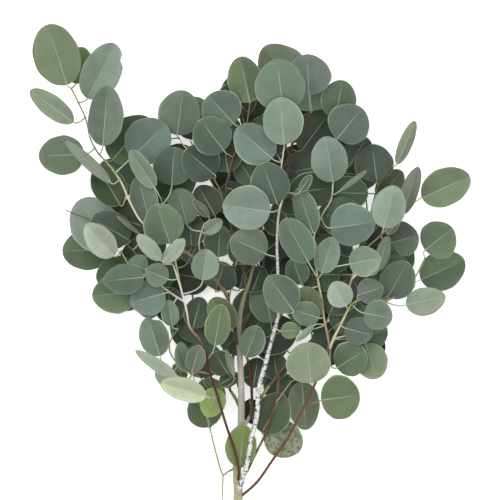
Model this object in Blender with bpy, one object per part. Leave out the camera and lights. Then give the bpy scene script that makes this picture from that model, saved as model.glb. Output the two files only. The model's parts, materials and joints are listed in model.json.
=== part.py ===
"""A cut eucalyptus branch lying flat, in metres, +Z up.

The branch lies on z = 0 with the trunk's cut end towards -Y. Stem routes and leaf
places were measured by hand on the photo, in its pixels, and one scale turns them
into metres. A leaf is a thin blade with a flat stalk that is fused to its twig.
"""
import math
import random

import bmesh
import bpy
import numpy as np

# One pixel of the photo is 1.2 mm, which makes a leaf of 45 pixels 54 mm long.
pixel = 0.0012
centreX = 250.0
centreY = 279.0
# Level 0 is 6 mm above the surface, and each level is this much higher.
levelStep = 0.0165
levelZero = 0.006
stemStep = 0.0096
bladeThickness = 0.0009
stalkHalfWidth = 0.0008
leafGap = 0.0019
edgeMargin = 0.0012
floorHeight = 0.0012
jointGap = 0.0004
tubeTolerance = 0.00045
tubeLongestStep = 0.048
fillLimit = 72
fillDraws = 5
seed = 7
# Plain colours of the solids.
barkColour = (0.36, 0.34, 0.26)
barkRoughness = 0.75
leafColour = (0.28, 0.36, 0.30)
leafRoughness = 0.55

# name: node, parent stem, route in pixels, level at start and end, radius at start and end in mm
stems = {
    "trunk": ("main_stem", None,
        [(236, 533), (238, 497), (237, 467), (241, 425), (241, 380), (239, 340), (240, 316),
         (244, 298)], 0.0, 3.0, 6.0, 2.6),
    "white": ("main_stem", "trunk",
        [(238, 494), (246, 468), (251, 440), (257, 415), (259, 388), (266, 362), (269, 350)],
         1.5, 3.1, 3.1, 2.7),
    "leftRed": ("main_stem", "trunk", [(240, 481), (236, 455), (229, 434)], 1.3, 2.5, 1.7, 1.6),
    "rightRed": ("main_stem", "trunk",
        [(238, 500), (257, 483), (273, 460), (287, 440)], 0.3, 2.0, 1.7, 1.6),
    "brownStub": ("main_stem", "trunk", [(239, 486), (246, 474), (251, 464)], 0.3, 0.8, 1.8, 1.6),
    "greenStub": ("main_stem", "trunk", [(237, 468), (229, 472)], 0.7, 1.0, 1.3, 1.2),
    "innerStub": ("main_stem", "trunk", [(241, 434), (250, 416)], 1.2, 1.4, 2.0, 1.8),
    "topLeftStub": ("main_stem", "trunk", [(240, 350), (232, 328)], 2.6, 2.9, 2.2, 1.9),
    "backLeftStub": ("main_stem", "trunk", [(241, 408), (231, 392)], 1.3, 1.0, 2.0, 1.8),
    "backRightStub": ("main_stem", "white", [(257, 404), (269, 386)], 1.8, 1.2, 2.0, 1.8),
    "backTopStub": ("main_stem", "trunk", [(241, 392), (234, 374)], 1.6, 1.3, 2.0, 1.8),
    "topLeft": ("top_left_spray", "topLeftStub",
        [(232, 328), (228, 300), (212, 275), (192, 256), (165, 240), (142, 222), (130, 202),
         (121, 182), (109, 165), (98, 153), (90, 138), (86, 120), (76, 98), (71, 88)], 2.9, 2.2, 1.8, 0.8),
    "topLeftSide": ("top_left_spray", "topLeft", [(206, 268), (199, 245), (204, 224)], 3.2, 3.4, 1.1, 0.8),
    "leftMid": ("left_spray", "leftRed",
        [(229, 434), (222, 412), (217, 395), (209, 370), (207, 355), (198, 337), (190, 328),
         (187, 312), (184, 300), (180, 285), (173, 264)], 2.5, 3.4, 1.6, 1.0),
    "leftFork": ("left_spray", "leftMid",
        [(184, 302), (168, 291), (150, 278), (130, 266), (121, 251)], 3.3, 2.6, 1.2, 0.8),
    "leftUp": ("left_spray", "leftMid",
        [(180, 284), (172, 245), (165, 225), (163, 204)], 3.2, 3.2, 1.1, 0.8),
    "dryTwig": ("left_spray", "leftFork",
        [(140, 272), (136, 254), (118, 238), (95, 222), (75, 214), (65, 210)], 2.6, 1.9, 0.8, 0.6),
    "lowStub": ("left_spray", "leftMid", [(211, 374), (201, 372)], 2.6, 2.8, 1.3, 1.2),
    "leftLow": ("left_low_spray", "lowStub",
        [(201, 372), (188, 372), (176, 362), (169, 348), (173, 336), (178, 329)], 2.8, 3.2, 1.1, 0.7),
    "leftLowEnd": ("left_low_spray", "leftLow", [(180, 367), (170, 372), (160, 366)], 2.9, 3.2, 0.8, 0.7),
    "greenTwig": ("lower_left_sprig", "greenStub",
        [(229, 472), (223, 476), (217, 458), (210, 430), (205, 412)], 1.0, 1.6, 1.1, 0.8),
    "greenTail": ("lower_left_sprig", "greenTwig", [(223, 475), (222, 503)], 1.0, 0.8, 1.0, 0.7),
    "innerLeft": ("inner_left_spray", "innerStub",
        [(250, 416), (252, 400), (250, 374), (246, 354), (239, 338), (232, 322), (230, 306),
         (228, 292)], 1.4, 1.9, 1.7, 1.0),
    "innerLeftA": ("inner_left_spray", "innerLeft", [(229, 296), (215, 275)], 1.9, 2.0, 0.9, 0.7),
    "innerLeftB": ("inner_left_spray", "innerLeft", [(229, 296), (236, 266)], 1.9, 2.4, 0.9, 0.7),
    "whiteTop": ("center_spray", "white",
        [(269, 350), (273, 335), (279, 310), (278, 275), (277, 240), (279, 212), (283, 195),
         (281, 172), (284, 147)], 3.1, 4.4, 2.3, 0.9),
    "topRed": ("center_spray", "whiteTop",
        [(279, 214), (284, 195), (289, 162), (294, 140), (300, 130), (311, 113)], 3.8, 3.2, 1.3, 0.8),
    "innerTop": ("inner_spray", "trunk",
        [(244, 298), (250, 280), (256, 255), (262, 225), (266, 195), (262, 180)], 3.0, 2.8, 2.3, 0.9),
    "topStub": ("inner_spray", "innerTop", [(249, 284), (242, 266)], 3.0, 3.0, 1.6, 1.5),
    "topTwig": ("top_spray", "topStub",
        [(242, 266), (234, 240), (226, 195), (230, 170), (236, 150), (246, 125), (250, 104)],
         3.0, 3.0, 1.4, 0.8),
    "topTwigSide": ("top_spray", "topTwig",
        [(226, 200), (205, 165), (186, 148), (179, 138)], 2.8, 2.6, 1.0, 0.7),
    "rightMid": ("right_spray", "rightRed",
        [(287, 440), (292, 431), (303, 410), (311, 394), (318, 378), (328, 368), (330, 352),
         (328, 338), (324, 318), (322, 300), (319, 285), (316, 265), (316, 245), (314, 236),
         (322, 215), (331, 200), (333, 183), (336, 155), (336, 132)], 2.0, 3.6, 1.6, 0.8),
    "rightSide": ("right_spray", "rightMid", [(305, 406), (322, 400)], 2.6, 2.8, 0.9, 0.8),
    "outerStub": ("right_spray", "rightMid", [(330, 346), (337, 332)], 3.0, 3.3, 1.7, 1.5),
    "outer": ("right_outer_spray", "outerStub",
        [(337, 332), (344, 318), (353, 303), (370, 298), (388, 300), (404, 290), (416, 276),
         (425, 258)], 3.3, 3.2, 1.4, 0.8),
    "outerUp": ("right_outer_spray", "outer",
        [(350, 307), (349, 290), (353, 275), (360, 255), (372, 243), (380, 236), (396, 218),
         (403, 211), (422, 197)], 3.4, 3.2, 1.2, 0.8),
    "outerTop": ("right_outer_spray", "outerUp",
        [(359, 257), (362, 238), (370, 215), (375, 195), (381, 180), (392, 166)], 3.3, 3.2, 1.0, 0.7),
    "brown": ("lower_right_sprig", "brownStub",
        [(251, 464), (258, 450), (265, 435), (270, 420), (278, 392), (279, 372)], 0.8, 1.8, 1.5, 0.9),
    "brownSide": ("lower_right_sprig", "brown", [(275, 404), (291, 382)], 1.4, 1.6, 0.9, 0.7),
    "backLeft": ("back_left_spray", "backLeftStub",
        [(231, 392), (219, 355), (196, 320), (168, 295), (142, 272), (120, 254)], 1.0, 0.1, 1.6, 0.8),
    "backRight": ("back_right_spray", "backRightStub",
        [(269, 386), (298, 352), (335, 324), (375, 302), (405, 290), (416, 282)], 1.2, 0.1, 1.6, 0.8),
    "backTop": ("back_top_spray", "backTopStub",
        [(234, 374), (234, 350), (248, 318), (262, 285), (266, 230), (285, 170), (298, 125),
         (303, 100)], 1.3, 0.1, 1.7, 0.8),
    "backTopSide": ("back_top_spray", "backTop",
        [(263, 276), (240, 228), (208, 176), (190, 140)], 0.9, 0.6, 1.1, 0.8),
    "backRightSide": ("back_right_spray", "backRight",
        [(330, 328), (356, 282), (368, 230), (362, 172), (345, 130)], 0.7, 0.7, 1.1, 0.8),
    "backLeftSide": ("back_left_spray", "backLeft",
        [(196, 320), (186, 270), (160, 222), (132, 180)], 0.6, 0.6, 1.1, 0.8),
}

# Leaves measured on the photo: base x, base y, tip x, tip y, width, level.
leafTable = {
    "top_left_spray": [
        (67, 85, 48, 25, 46, 3.4), (75, 83, 82, 46, 30, 1.6), (87, 98, 115, 43, 38, 2.6),
        (103, 146, 108, 86, 36, 3.2), (73, 122, 30, 90, 22, 2.6), (84, 154, 38, 156, 40, 1.8),
        (111, 183, 66, 141, 12, 3.4), (131, 158, 166, 124, 46, 3.3), (112, 160, 148, 117, 44, 1.7),
        (120, 205, 97, 166, 34, 1.6), (187, 224, 177, 188, 32, 3.2), (205, 233, 222, 220, 14, 4.6),
        (215, 215, 198, 186, 32, 2.4), (209, 217, 193, 200, 9, 3.2), (232, 330, 212, 298, 28, 3.2),
    ],
    "left_spray": [
        (112, 248, 78, 200, 50, 1.4), (114, 256, 86, 224, 28, 3.9), (129, 240, 91, 218, 38, 2.5),
        (140, 234, 117, 216, 4, 3.0), (144, 277, 104, 281, 31, 4.2), (136, 292, 92, 296, 40, 3.2),
        (135, 268, 96, 280, 36, 2.4), (165, 293, 130, 303, 36, 3.8), (160, 310, 136, 306, 20, 3.2),
        (147, 270, 128, 262, 24, 3.3), (168, 279, 146, 270, 24, 4.0), (161, 260, 138, 235, 16, 4.5),
        (170, 243, 157, 204, 41, 4.2), (155, 188, 131, 151, 19, 4.0), (172, 185, 174, 147, 40, 3.4),
        (150, 222, 138, 176, 28, 2.0), (206, 396, 161, 382, 24, 4.6), (203, 280, 207, 249, 28, 4.9),
        (187, 263, 200, 240, 26, 2.0), (215, 345, 222, 304, 26, 5.0), (164, 262, 185, 239, 15, 4.2),
        (234, 376, 226, 349, 6, 2.6), (220, 385, 238, 374, 16, 1.9), (219, 389, 206, 417, 26, 2.1),
        (193, 328, 201, 297, 26, 2.2), (191, 247, 190, 212, 30, 2.2),
    ],
    "left_low_spray": [
        (177, 377, 136, 350, 12, 4.0), (190, 395, 155, 372, 20, 3.1), (160, 356, 148, 317, 30, 3.9),
        (172, 326, 168, 300, 18, 3.4), (186, 372, 180, 342, 16, 3.0), (192, 371, 200, 345, 20, 3.6),
        (202, 380, 219, 408, 31, 1.2), (185, 380, 174, 364, 14, 2.2),
    ],
    "main_stem": [(240, 468, 243, 425, 32, 1.3)],
    "lower_left_sprig": [(211, 427, 197, 395, 36, 1.1)],
    "inner_left_spray": [
        (246, 357, 258, 326, 26, 3.2), (236, 264, 250, 228, 30, 3.3), (218, 257, 220, 225, 30, 2.6),
        (215, 290, 225, 262, 36, 2.2), (228, 374, 214, 352, 26, 2.0), (253, 388, 258, 358, 26, 0.9),
        (240, 289, 247, 256, 28, 1.3), (249, 400, 255, 425, 22, 0.8),
    ],
    "top_spray": [
        (177, 135, 183, 90, 43, 3.0), (234, 124, 208, 96, 42, 3.9), (245, 110, 222, 87, 38, 2.6),
        (224, 151, 200, 120, 40, 4.4), (215, 175, 185, 150, 40, 3.9), (228, 172, 222, 135, 34, 3.0),
        (250, 103, 240, 57, 35, 3.4), (255, 185, 236, 155, 25, 2.4),
    ],
    "center_spray": [
        (283, 112, 277, 60, 51, 4.0), (284, 145, 280, 98, 41, 5.6), (272, 159, 237, 128, 40, 4.2),
        (309, 95, 307, 54, 46, 3.4), (312, 111, 308, 75, 44, 2.8), (302, 150, 330, 112, 42, 2.6),
        (270, 212, 223, 205, 45, 5.8), (277, 203, 262, 163, 40, 4.8), (285, 230, 265, 215, 26, 3.2),
        (266, 254, 231, 238, 38, 5.0), (293, 310, 268, 276, 36, 4.6), (281, 331, 300, 330, 17, 3.6),
        (300, 192, 311, 175, 10, 3.4), (292, 142, 303, 106, 32, 1.8),
    ],
    "inner_spray": [
        (252, 292, 262, 266, 24, 2.6), (253, 240, 240, 205, 32, 2.4), (268, 190, 300, 176, 28, 2.4),
    ],
    "right_spray": [
        (335, 118, 343, 80, 36, 3.2), (337, 139, 362, 108, 44, 3.7), (333, 182, 325, 137, 37, 5.4),
        (350, 165, 367, 137, 30, 2.2), (330, 228, 375, 222, 43, 4.7), (313, 233, 298, 188, 24, 3.2),
        (340, 191, 366, 171, 5, 4.6), (349, 264, 380, 258, 31, 5.2), (322, 273, 333, 237, 25, 4.2),
        (308, 262, 284, 219, 32, 4.2), (300, 325, 310, 287, 38, 3.0), (319, 318, 292, 309, 25, 4.2),
        (313, 326, 296, 341, 7, 4.7), (311, 383, 306, 342, 45, 5.2), (337, 368, 365, 350, 36, 4.2),
        (366, 344, 377, 379, 33, 3.1), (352, 338, 388, 330, 34, 2.6), (321, 400, 360, 395, 45, 3.4),
        (302, 284, 292, 258, 24, 3.0),
    ],
    "right_outer_spray": [
        (364, 313, 392, 318, 31, 4.8), (345, 328, 372, 335, 28, 4.4), (346, 306, 333, 282, 26, 5.0),
        (358, 295, 383, 287, 26, 4.2), (388, 297, 408, 262, 36, 3.7), (406, 305, 445, 296, 28, 4.1),
        (425, 250, 453, 228, 40, 3.0), (392, 243, 418, 235, 36, 3.5), (377, 271, 388, 236, 15, 4.8),
        (377, 181, 372, 144, 40, 2.4), (397, 164, 415, 121, 14, 3.5), (402, 214, 418, 167, 17, 3.6),
        (383, 228, 394, 186, 34, 5.0), (388, 234, 400, 217, 9, 4.3), (422, 198, 470, 176, 38, 3.0),
        (380, 200, 402, 170, 26, 2.0),
    ],
    "lower_right_sprig": [
        (302, 382, 306, 431, 32, 0.9), (268, 427, 300, 452, 38, 0.9), (262, 433, 283, 394, 38, 1.4),
        (276, 402, 279, 368, 28, 0.7), (278, 380, 273, 352, 26, 0.9), (296, 404, 291, 374, 26, 0.6),
    ],
    "back_left_spray": [(110, 248, 61, 252, 42, 0.0)],
    "back_right_spray": [(422, 280, 466, 260, 40, 0.0)],
    "back_top_spray": [(300, 92, 264, 45, 49, 0.0)],
}
# These leaves lie flat on the surface, each the first of its spray's list.
restingSprays = ("back_left_spray", "back_right_spray", "back_top_spray")
# The outline of the thick of the bunch, by hand, which the added leaves keep inside.
thickOutline = [
    (253, 56), (283, 46), (318, 58), (330, 84), (348, 84), (360, 110), (364, 138), (386, 148),
    (396, 166), (402, 178), (398, 206), (392, 214), (404, 226), (420, 236), (452, 228), (464, 262),
    (448, 286), (420, 286), (398, 298), (390, 318), (384, 364), (366, 376), (350, 368), (344, 382),
    (356, 392), (356, 404), (338, 420), (322, 404), (308, 430), (296, 452), (272, 448), (262, 425),
    (280, 396), (270, 372), (256, 352), (244, 352), (236, 384), (224, 398), (218, 424), (190, 420),
    (184, 404), (164, 392), (146, 366), (150, 326), (166, 312), (134, 312), (104, 308), (98, 292),
    (106, 270), (66, 262), (64, 240), (80, 204), (100, 200), (96, 168), (112, 140), (140, 118),
    (158, 118), (176, 92), (204, 92), (224, 86), (230, 62),
]
# Small gaps of the photo that the added leaves leave open.
openSpots = [
    (124, 244), (181, 141), (371, 188), (190, 299), (174, 344), (168, 358), (252, 385), (248, 372),
    (398, 310), (416, 256), (418, 268), (366, 124), (320, 392), (195, 378), (234, 388), (243, 394),
    (154, 356),
]
# Stems that bear more leaves out of sight, with how far below the stem they start, in levels.
filledStems = {
    "backTop": 0.3, "backLeft": 0.3, "backRight": 0.3, "backTopSide": 0.3, "backRightSide": 0.3,
    "backLeftSide": 0.3, "innerTop": 0.9, "brown": 0.6, "brownSide": 0.4, "topTwig": 0.9, "topTwigSide": 0.8,
    "innerLeft": 0.7, "innerLeftA": 0.5, "leftMid": 1.0, "leftLow": 0.8, "leftUp": 1.0, "leftFork": 0.9,
    "rightMid": 1.0, "outer": 0.9, "outerUp": 0.9, "outerTop": 0.9, "topLeft": 0.9, "whiteTop": 1.2,
    "topRed": 0.9,
}
# Stems whose end carries the start of another piece, so no stalk ends there.
carriers = {row[1] for row in stems.values() if row[1] and stems[row[1]][0] != row[0]}
leafHalves = {
    "trueShape": 0.85,
    "steepest": 3.0,
}


def toPlan(px, py):
    return np.array([(px - centreX) * pixel, (centreY - py) * pixel])


def levelHeight(level):
    return levelZero + level * levelStep


def smoothRoute(points, before=None):
    """Points a fixed step apart on a smooth curve through the measured ones."""
    plan = [toPlan(x, y) for x, y in points]
    first = 2 * plan[0] - plan[1] if before is None else before
    padded = [first] + plan + [2 * plan[-1] - plan[-2]]
    fine = []
    for i in range(1, len(padded) - 2):
        a, b, c, d = padded[i - 1:i + 3]
        for k in range(16):
            t = k / 16.0
            fine.append(0.5 * (2 * b + (c - a) * t + (2 * a - 5 * b + 4 * c - d) * t * t
                               + (3 * b - a - 3 * c + d) * t ** 3))
    fine.append(plan[-1])
    fine = np.array(fine)
    lengths = np.concatenate([[0.0], np.cumsum(np.linalg.norm(np.diff(fine, axis=0), axis=1))])
    count = max(1, int(round(lengths[-1] / stemStep)))
    marks = np.linspace(0.0, lengths[-1], count + 1)
    return np.stack([np.interp(marks, lengths, fine[:, 0]), np.interp(marks, lengths, fine[:, 1])], axis=1)


def layStems():
    """Every stem as a row of points, with one height variable for each point."""
    laid = {}
    heights = []
    for name, (node, parent, route, levelA, levelB, radiusA, radiusB) in stems.items():
        butt = parent is not None and laid[parent]["node"] != node
        plan = smoothRoute(route, laid[parent]["plan"][-2] if butt else None)
        count = len(plan)
        ids = []
        if parent is not None:
            near = int(np.argmin(np.linalg.norm(laid[parent]["plan"] - plan[0], axis=1)))
            if butt:
                near = len(laid[parent]["ids"]) - 1
            plan[0] = laid[parent]["plan"][near]
            ids.append(laid[parent]["ids"][near])
        for k in range(len(ids), count):
            share = k / (count - 1.0)
            heights.append(levelHeight(levelA + (levelB - levelA) * share))
            ids.append(len(heights) - 1)
        before = None
        if butt:
            before = laid[parent]["ids"][-2]
        radii = np.linspace(radiusA, radiusB, count) * 0.001
        first = np.array([heights[k] for k in ids])
        laid[name] = {"node": node, "plan": plan, "ids": ids, "radii": radii, "butt": butt, "parent": parent,
                      "before": before, "first": first}
    return laid, heights


def halfOutline(u, roundness):
    """Half the width of a blade at u from its base (0) to its tip (1), 1 at the widest."""
    u = np.clip(u, 0.0, 1.0)
    ovate = np.abs(np.sin(np.pi * u ** 0.82)) ** 0.56
    disc = 2.0 * np.sqrt(u * (1.0 - u))
    return (1.0 - roundness) * ovate + roundness * disc


def bend(leaf, u, v):
    """How far the blade's surface leaves its plane, upwards."""
    fold = leaf["fold"] * v * v
    droop = -leaf["droop"] * (2.0 * u - 1.0) ** 2
    wave = leaf["wave"] * np.sin(2.0 * np.pi * (1.3 * u + leaf["phase"])) * v
    return fold + droop + wave


def leafHeight(leaf, u, v):
    """Height of the blade's surface over its centre."""
    return leaf["rise"] * (u - 0.5) + leaf["roll"] * v + bend(leaf, u, v)


def makeLeaf(row, node, resting=False):
    bx, by, tx, ty, width, level = row
    rng = random.Random("%.3f %.3f %d" % (bx, by, seed))
    base = toPlan(bx, by)
    along = toPlan(tx, ty) - base
    length = float(np.linalg.norm(along))
    half = 0.5 * width * pixel
    across = np.array([-along[1], along[0]]) / length * half
    trueHalf = 0.5 * leafHalves["trueShape"] * length
    rise = 0.0
    roll = 0.0
    if half < trueHalf:
        trueHalf = min(trueHalf, half * 3.0)
        roll = math.sqrt(max(0.0, trueHalf ** 2 - half ** 2)) * 0.9
        roll *= rng.choice((-1.0, 1.0))
    if 2.0 * half > 1.1 * length:
        rise = math.sqrt((2.0 * half / 1.05) ** 2 - length ** 2) * rng.choice((-1.0, 1.0))
    leaf = {"node": node, "base": base, "along": along, "across": across, "level": level,
            "rise": rise + length * rng.uniform(-0.12, 0.12), "roll": roll + half * rng.uniform(-0.16, 0.16),
            "fold": rng.uniform(0.0008, 0.0028), "droop": rng.uniform(-0.0005, 0.003),
            "wave": rng.uniform(0.0003, 0.0012), "phase": rng.random(), "roundness": rng.uniform(0.15, 0.8),
            "resting": resting, "length": length, "half": half}
    if resting:
        for key in ("rise", "roll", "fold", "droop", "wave"):
            leaf[key] = 0.0
    return leaf


def sampleGrid(leaf):
    us = np.array([0.02, 0.12, 0.28, 0.46, 0.64, 0.8, 0.92, 0.99])
    u, side = np.meshgrid(us, np.array([-1.0, -0.5, 0.0, 0.5, 1.0]), indexing="ij")
    v = side * halfOutline(u, leaf["roundness"])
    return u.ravel(), v.ravel()


def planPoint(leaf, u, v):
    u = np.asarray(u)[..., None]
    v = np.asarray(v)[..., None]
    return leaf["base"] + u * leaf["along"] + v * leaf["across"]


def inPlan(leaf, points, margin):
    """Which plan points lie in the blade's outline grown by the margin, and where in it."""
    offset = points - leaf["base"]
    u = offset @ leaf["along"] / leaf["length"] ** 2
    v = offset @ leaf["across"] / leaf["half"] ** 2
    growU = margin / leaf["length"]
    growV = margin / leaf["half"]
    squeezed = np.clip((u + growU) / (1.0 + 2.0 * growU), 0.0, 1.0)
    inside = (u > -growU) & (u < 1.0 + growU)
    inside &= np.abs(v) < halfOutline(squeezed, leaf["roundness"]) + growV
    return inside, np.clip(u, -0.05, 1.05), np.clip(v, -1.1, 1.1)


def steepness(leaf):
    slope = (leaf["rise"] / leaf["length"]) ** 2 + (leaf["roll"] / leaf["half"]) ** 2
    return min(leafHalves["steepest"], math.sqrt(1.0 + slope))


def pierced(leaf, laid, name, k, others):
    """How many leaves between a leaf and its stem its stalk would have to pass through."""
    low, high = sorted((levelHeight(leaf["level"]), laid[name]["first"][k]))
    trial = dict(leaf, at=(name, k))
    points = np.array([stalkPlan(trial, laid, t)[0] for t in (0.15, 0.35, 0.6, 0.85, 1.0)])
    count = 0
    for other in others:
        if other is leaf or not low - 0.002 < levelHeight(other["level"]) < high + 0.002:
            continue
        if np.linalg.norm(other["base"] - points[0]) > other["length"] + 0.03:
            continue
        if inPlan(other, points, stalkHalfWidth + edgeMargin)[0].any():
            count += 1
    return count


def hides(leaf, others):
    """Whether an added leaf would lie over a lower one that the photo shows."""
    u, v = sampleGrid(leaf)
    points = planPoint(leaf, u, v)
    for other in others:
        if other["level"] < leaf["level"] and inPlan(other, points, 0.0)[0].mean() > 0.15:
            return True
    return False


def blocks(leaf, laid, others):
    """Whether a leaf would lie between another leaf and its stem, across that stalk."""
    height = levelHeight(leaf["level"])
    for other in others:
        name, k = other["at"]
        low, high = sorted((levelHeight(other["level"]), laid[name]["first"][k]))
        if not low - 0.002 < height < high + 0.002:
            continue
        if np.linalg.norm(other["base"] - leaf["base"]) > leaf["length"] + 0.03:
            continue
        points = np.array([stalkPlan(other, laid, t)[0] for t in (0.15, 0.35, 0.6, 0.85)])
        if inPlan(leaf, points, stalkHalfWidth + edgeMargin)[0].any():
            return True
    return False


def stemOf(leaf, laid, others):
    """The stem point a leaf's stalk runs to: near its base, and clear of other leaves if it can be."""
    back = -leaf["along"] / leaf["length"]
    found = []
    for name, stem in laid.items():
        if stem["node"] == leaf["node"]:
            last = len(stem["plan"]) - (1 if name in carriers else 0)
            ways = stem["plan"][1:last] - leaf["base"]
            gaps = np.linalg.norm(ways, axis=1)
            # A point ahead of the leaf's foot counts as further off than one behind it.
            gaps = gaps * (1.0 + 0.35 * (1.0 - ways @ back / np.maximum(gaps, 1e-6)))
            found += [(float(gap), name, k + 1) for k, gap in enumerate(gaps)]
    found.sort()
    nearest = found[0][0]
    tried = []
    for gap, name, k in found:
        if gap > nearest + 0.017:
            break
        tried.append((gap + 0.012 * pierced(leaf, laid, name, k, others), gap, name, k))
    return min(tried)[1:]


def insideOutline(points, outline):
    """Which plan points lie inside a closed outline."""
    inside = np.zeros(len(points), bool)
    x, y = points[:, 0], points[:, 1]
    for (ax, ay), (bx, by) in zip(outline, outline[1:] + outline[:1]):
        crossing = (ay > y) != (by > y)
        run = np.where(by == ay, 1.0, by - ay)
        inside ^= crossing & (x < ax + (y - ay) * (bx - ax) / run)
    return inside


def fillLeaf(laid, name, k, side, rng):
    """One leaf of the rule, at a point of a stem and to one side of it."""
    plan = laid[name]["plan"]
    tangent = plan[min(k + 1, len(plan) - 1)] - plan[k - 1]
    turn = math.atan2(tangent[1], tangent[0]) + side * rng.uniform(0.35, 1.9)
    length = rng.uniform(33.0, 45.0)
    stalk = rng.uniform(5.0, 13.0)
    width = length * rng.uniform(0.8, 0.98)
    levels = np.interp(k, [0, len(plan) - 1], [stems[name][3], stems[name][4]])
    level = max(0.35, levels - filledStems[name] + rng.uniform(-0.4, 0.2))
    px = plan[k][0] / pixel + centreX + stalk * math.cos(turn)
    py = centreY - plan[k][1] / pixel - stalk * math.sin(turn)
    row = (px, py, px + length * math.cos(turn), py - length * math.sin(turn), width, level)
    leaf = makeLeaf(row, laid[name]["node"])
    leaf["at"] = (name, k)
    leaf["added"] = True
    return leaf


def growLeaves(laid):
    """The measured leaves, then added ones that close the ground between them from below.

    Of many seeded draws, each step takes the leaf that covers most of the open ground.
    """
    leaves = []
    for node, rows in leafTable.items():
        for place, row in enumerate(rows):
            leaves.append(makeLeaf(row, node, node in restingSprays and place == 0))
    for leaf in leaves:
        leaf["reach"], name, k = stemOf(leaf, laid, leaves)
        leaf["at"] = (name, k)
    outline = [tuple(toPlan(x, y)) for x, y in thickOutline]
    columns, rows = np.meshgrid(np.arange(60, 470, 5.0), np.arange(44, 456, 5.0))
    ground = np.column_stack([(columns.ravel() - centreX) * pixel, (centreY - rows.ravel()) * pixel])
    ground = ground[insideOutline(ground, outline)]
    depth = np.zeros(len(ground))
    for leaf in leaves:
        depth += inPlan(leaf, ground, 0.0)[0]
    spots = np.array([toPlan(x, y) for x, y in openSpots])
    draws = []
    covers = []
    for name in filledStems:
        for k in range(1, len(laid[name]["plan"])):
            for draw in range(fillDraws):
                for side in (-1.0, 1.0):
                    leaf = fillLeaf(laid, name, k, side, random.Random("%s %d %d %d" % (name, k, draw, side)))
                    points = planPoint(leaf, *sampleGrid(leaf))
                    if insideOutline(points, outline).mean() < 0.94 or inPlan(leaf, spots, 0.0)[0].any():
                        continue
                    if pierced(leaf, laid, name, k, leaves):
                        continue
                    if blocks(leaf, laid, leaves) or hides(leaf, leaves):
                        continue
                    draws.append(leaf)
                    covers.append(inPlan(leaf, ground, 0.0)[0])
    covers = np.array(covers)
    added = []
    free = np.ones(len(draws), bool)
    while len(added) < fillLimit and free.any():
        worth = np.select([depth < 1, depth < 2, depth < 3], [1.0, 0.22, 0.05], -0.12)
        gains = np.where(free, covers @ worth, -1e9)
        best = int(np.argmax(gains))
        if gains[best] < 0.5:
            break
        free[best] = False
        if pierced(draws[best], laid, *draws[best]["at"], added) or blocks(draws[best], laid, added):
            continue
        added.append(draws[best])
        depth += covers[best]
        for i in np.nonzero(free)[0]:
            if draws[i]["at"] == draws[best]["at"]:
                free[i] = False
    leaves += added
    for leaf in leaves:
        if not leaf["resting"]:
            # A leaf well above or below its stem leans that way, so that its stalk stays short.
            name, k = leaf["at"]
            lift = levelHeight(leaf["level"]) - laid[name]["first"][k]
            limit = 0.36 * leaf["length"]
            leaf["rise"] += min(limit, max(-limit, 0.7 * lift))
    return leaves


def stalkPlan(leaf, laid, t):
    """A point of the stalk from the blade's base (0) to the stem (1), with its height shares."""
    name, k = leaf["at"]
    root = laid[name]["plan"][k]
    far = float(np.linalg.norm(root - leaf["base"]))
    back = -leaf["along"] / leaf["length"]
    handle = leaf["base"] + back * 0.45 * far
    a, b, c = (1.0 - t) ** 2, 2.0 * t * (1.0 - t), t * t
    return a * leaf["base"] + b * handle + c * root, a + b, c, far


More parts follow.
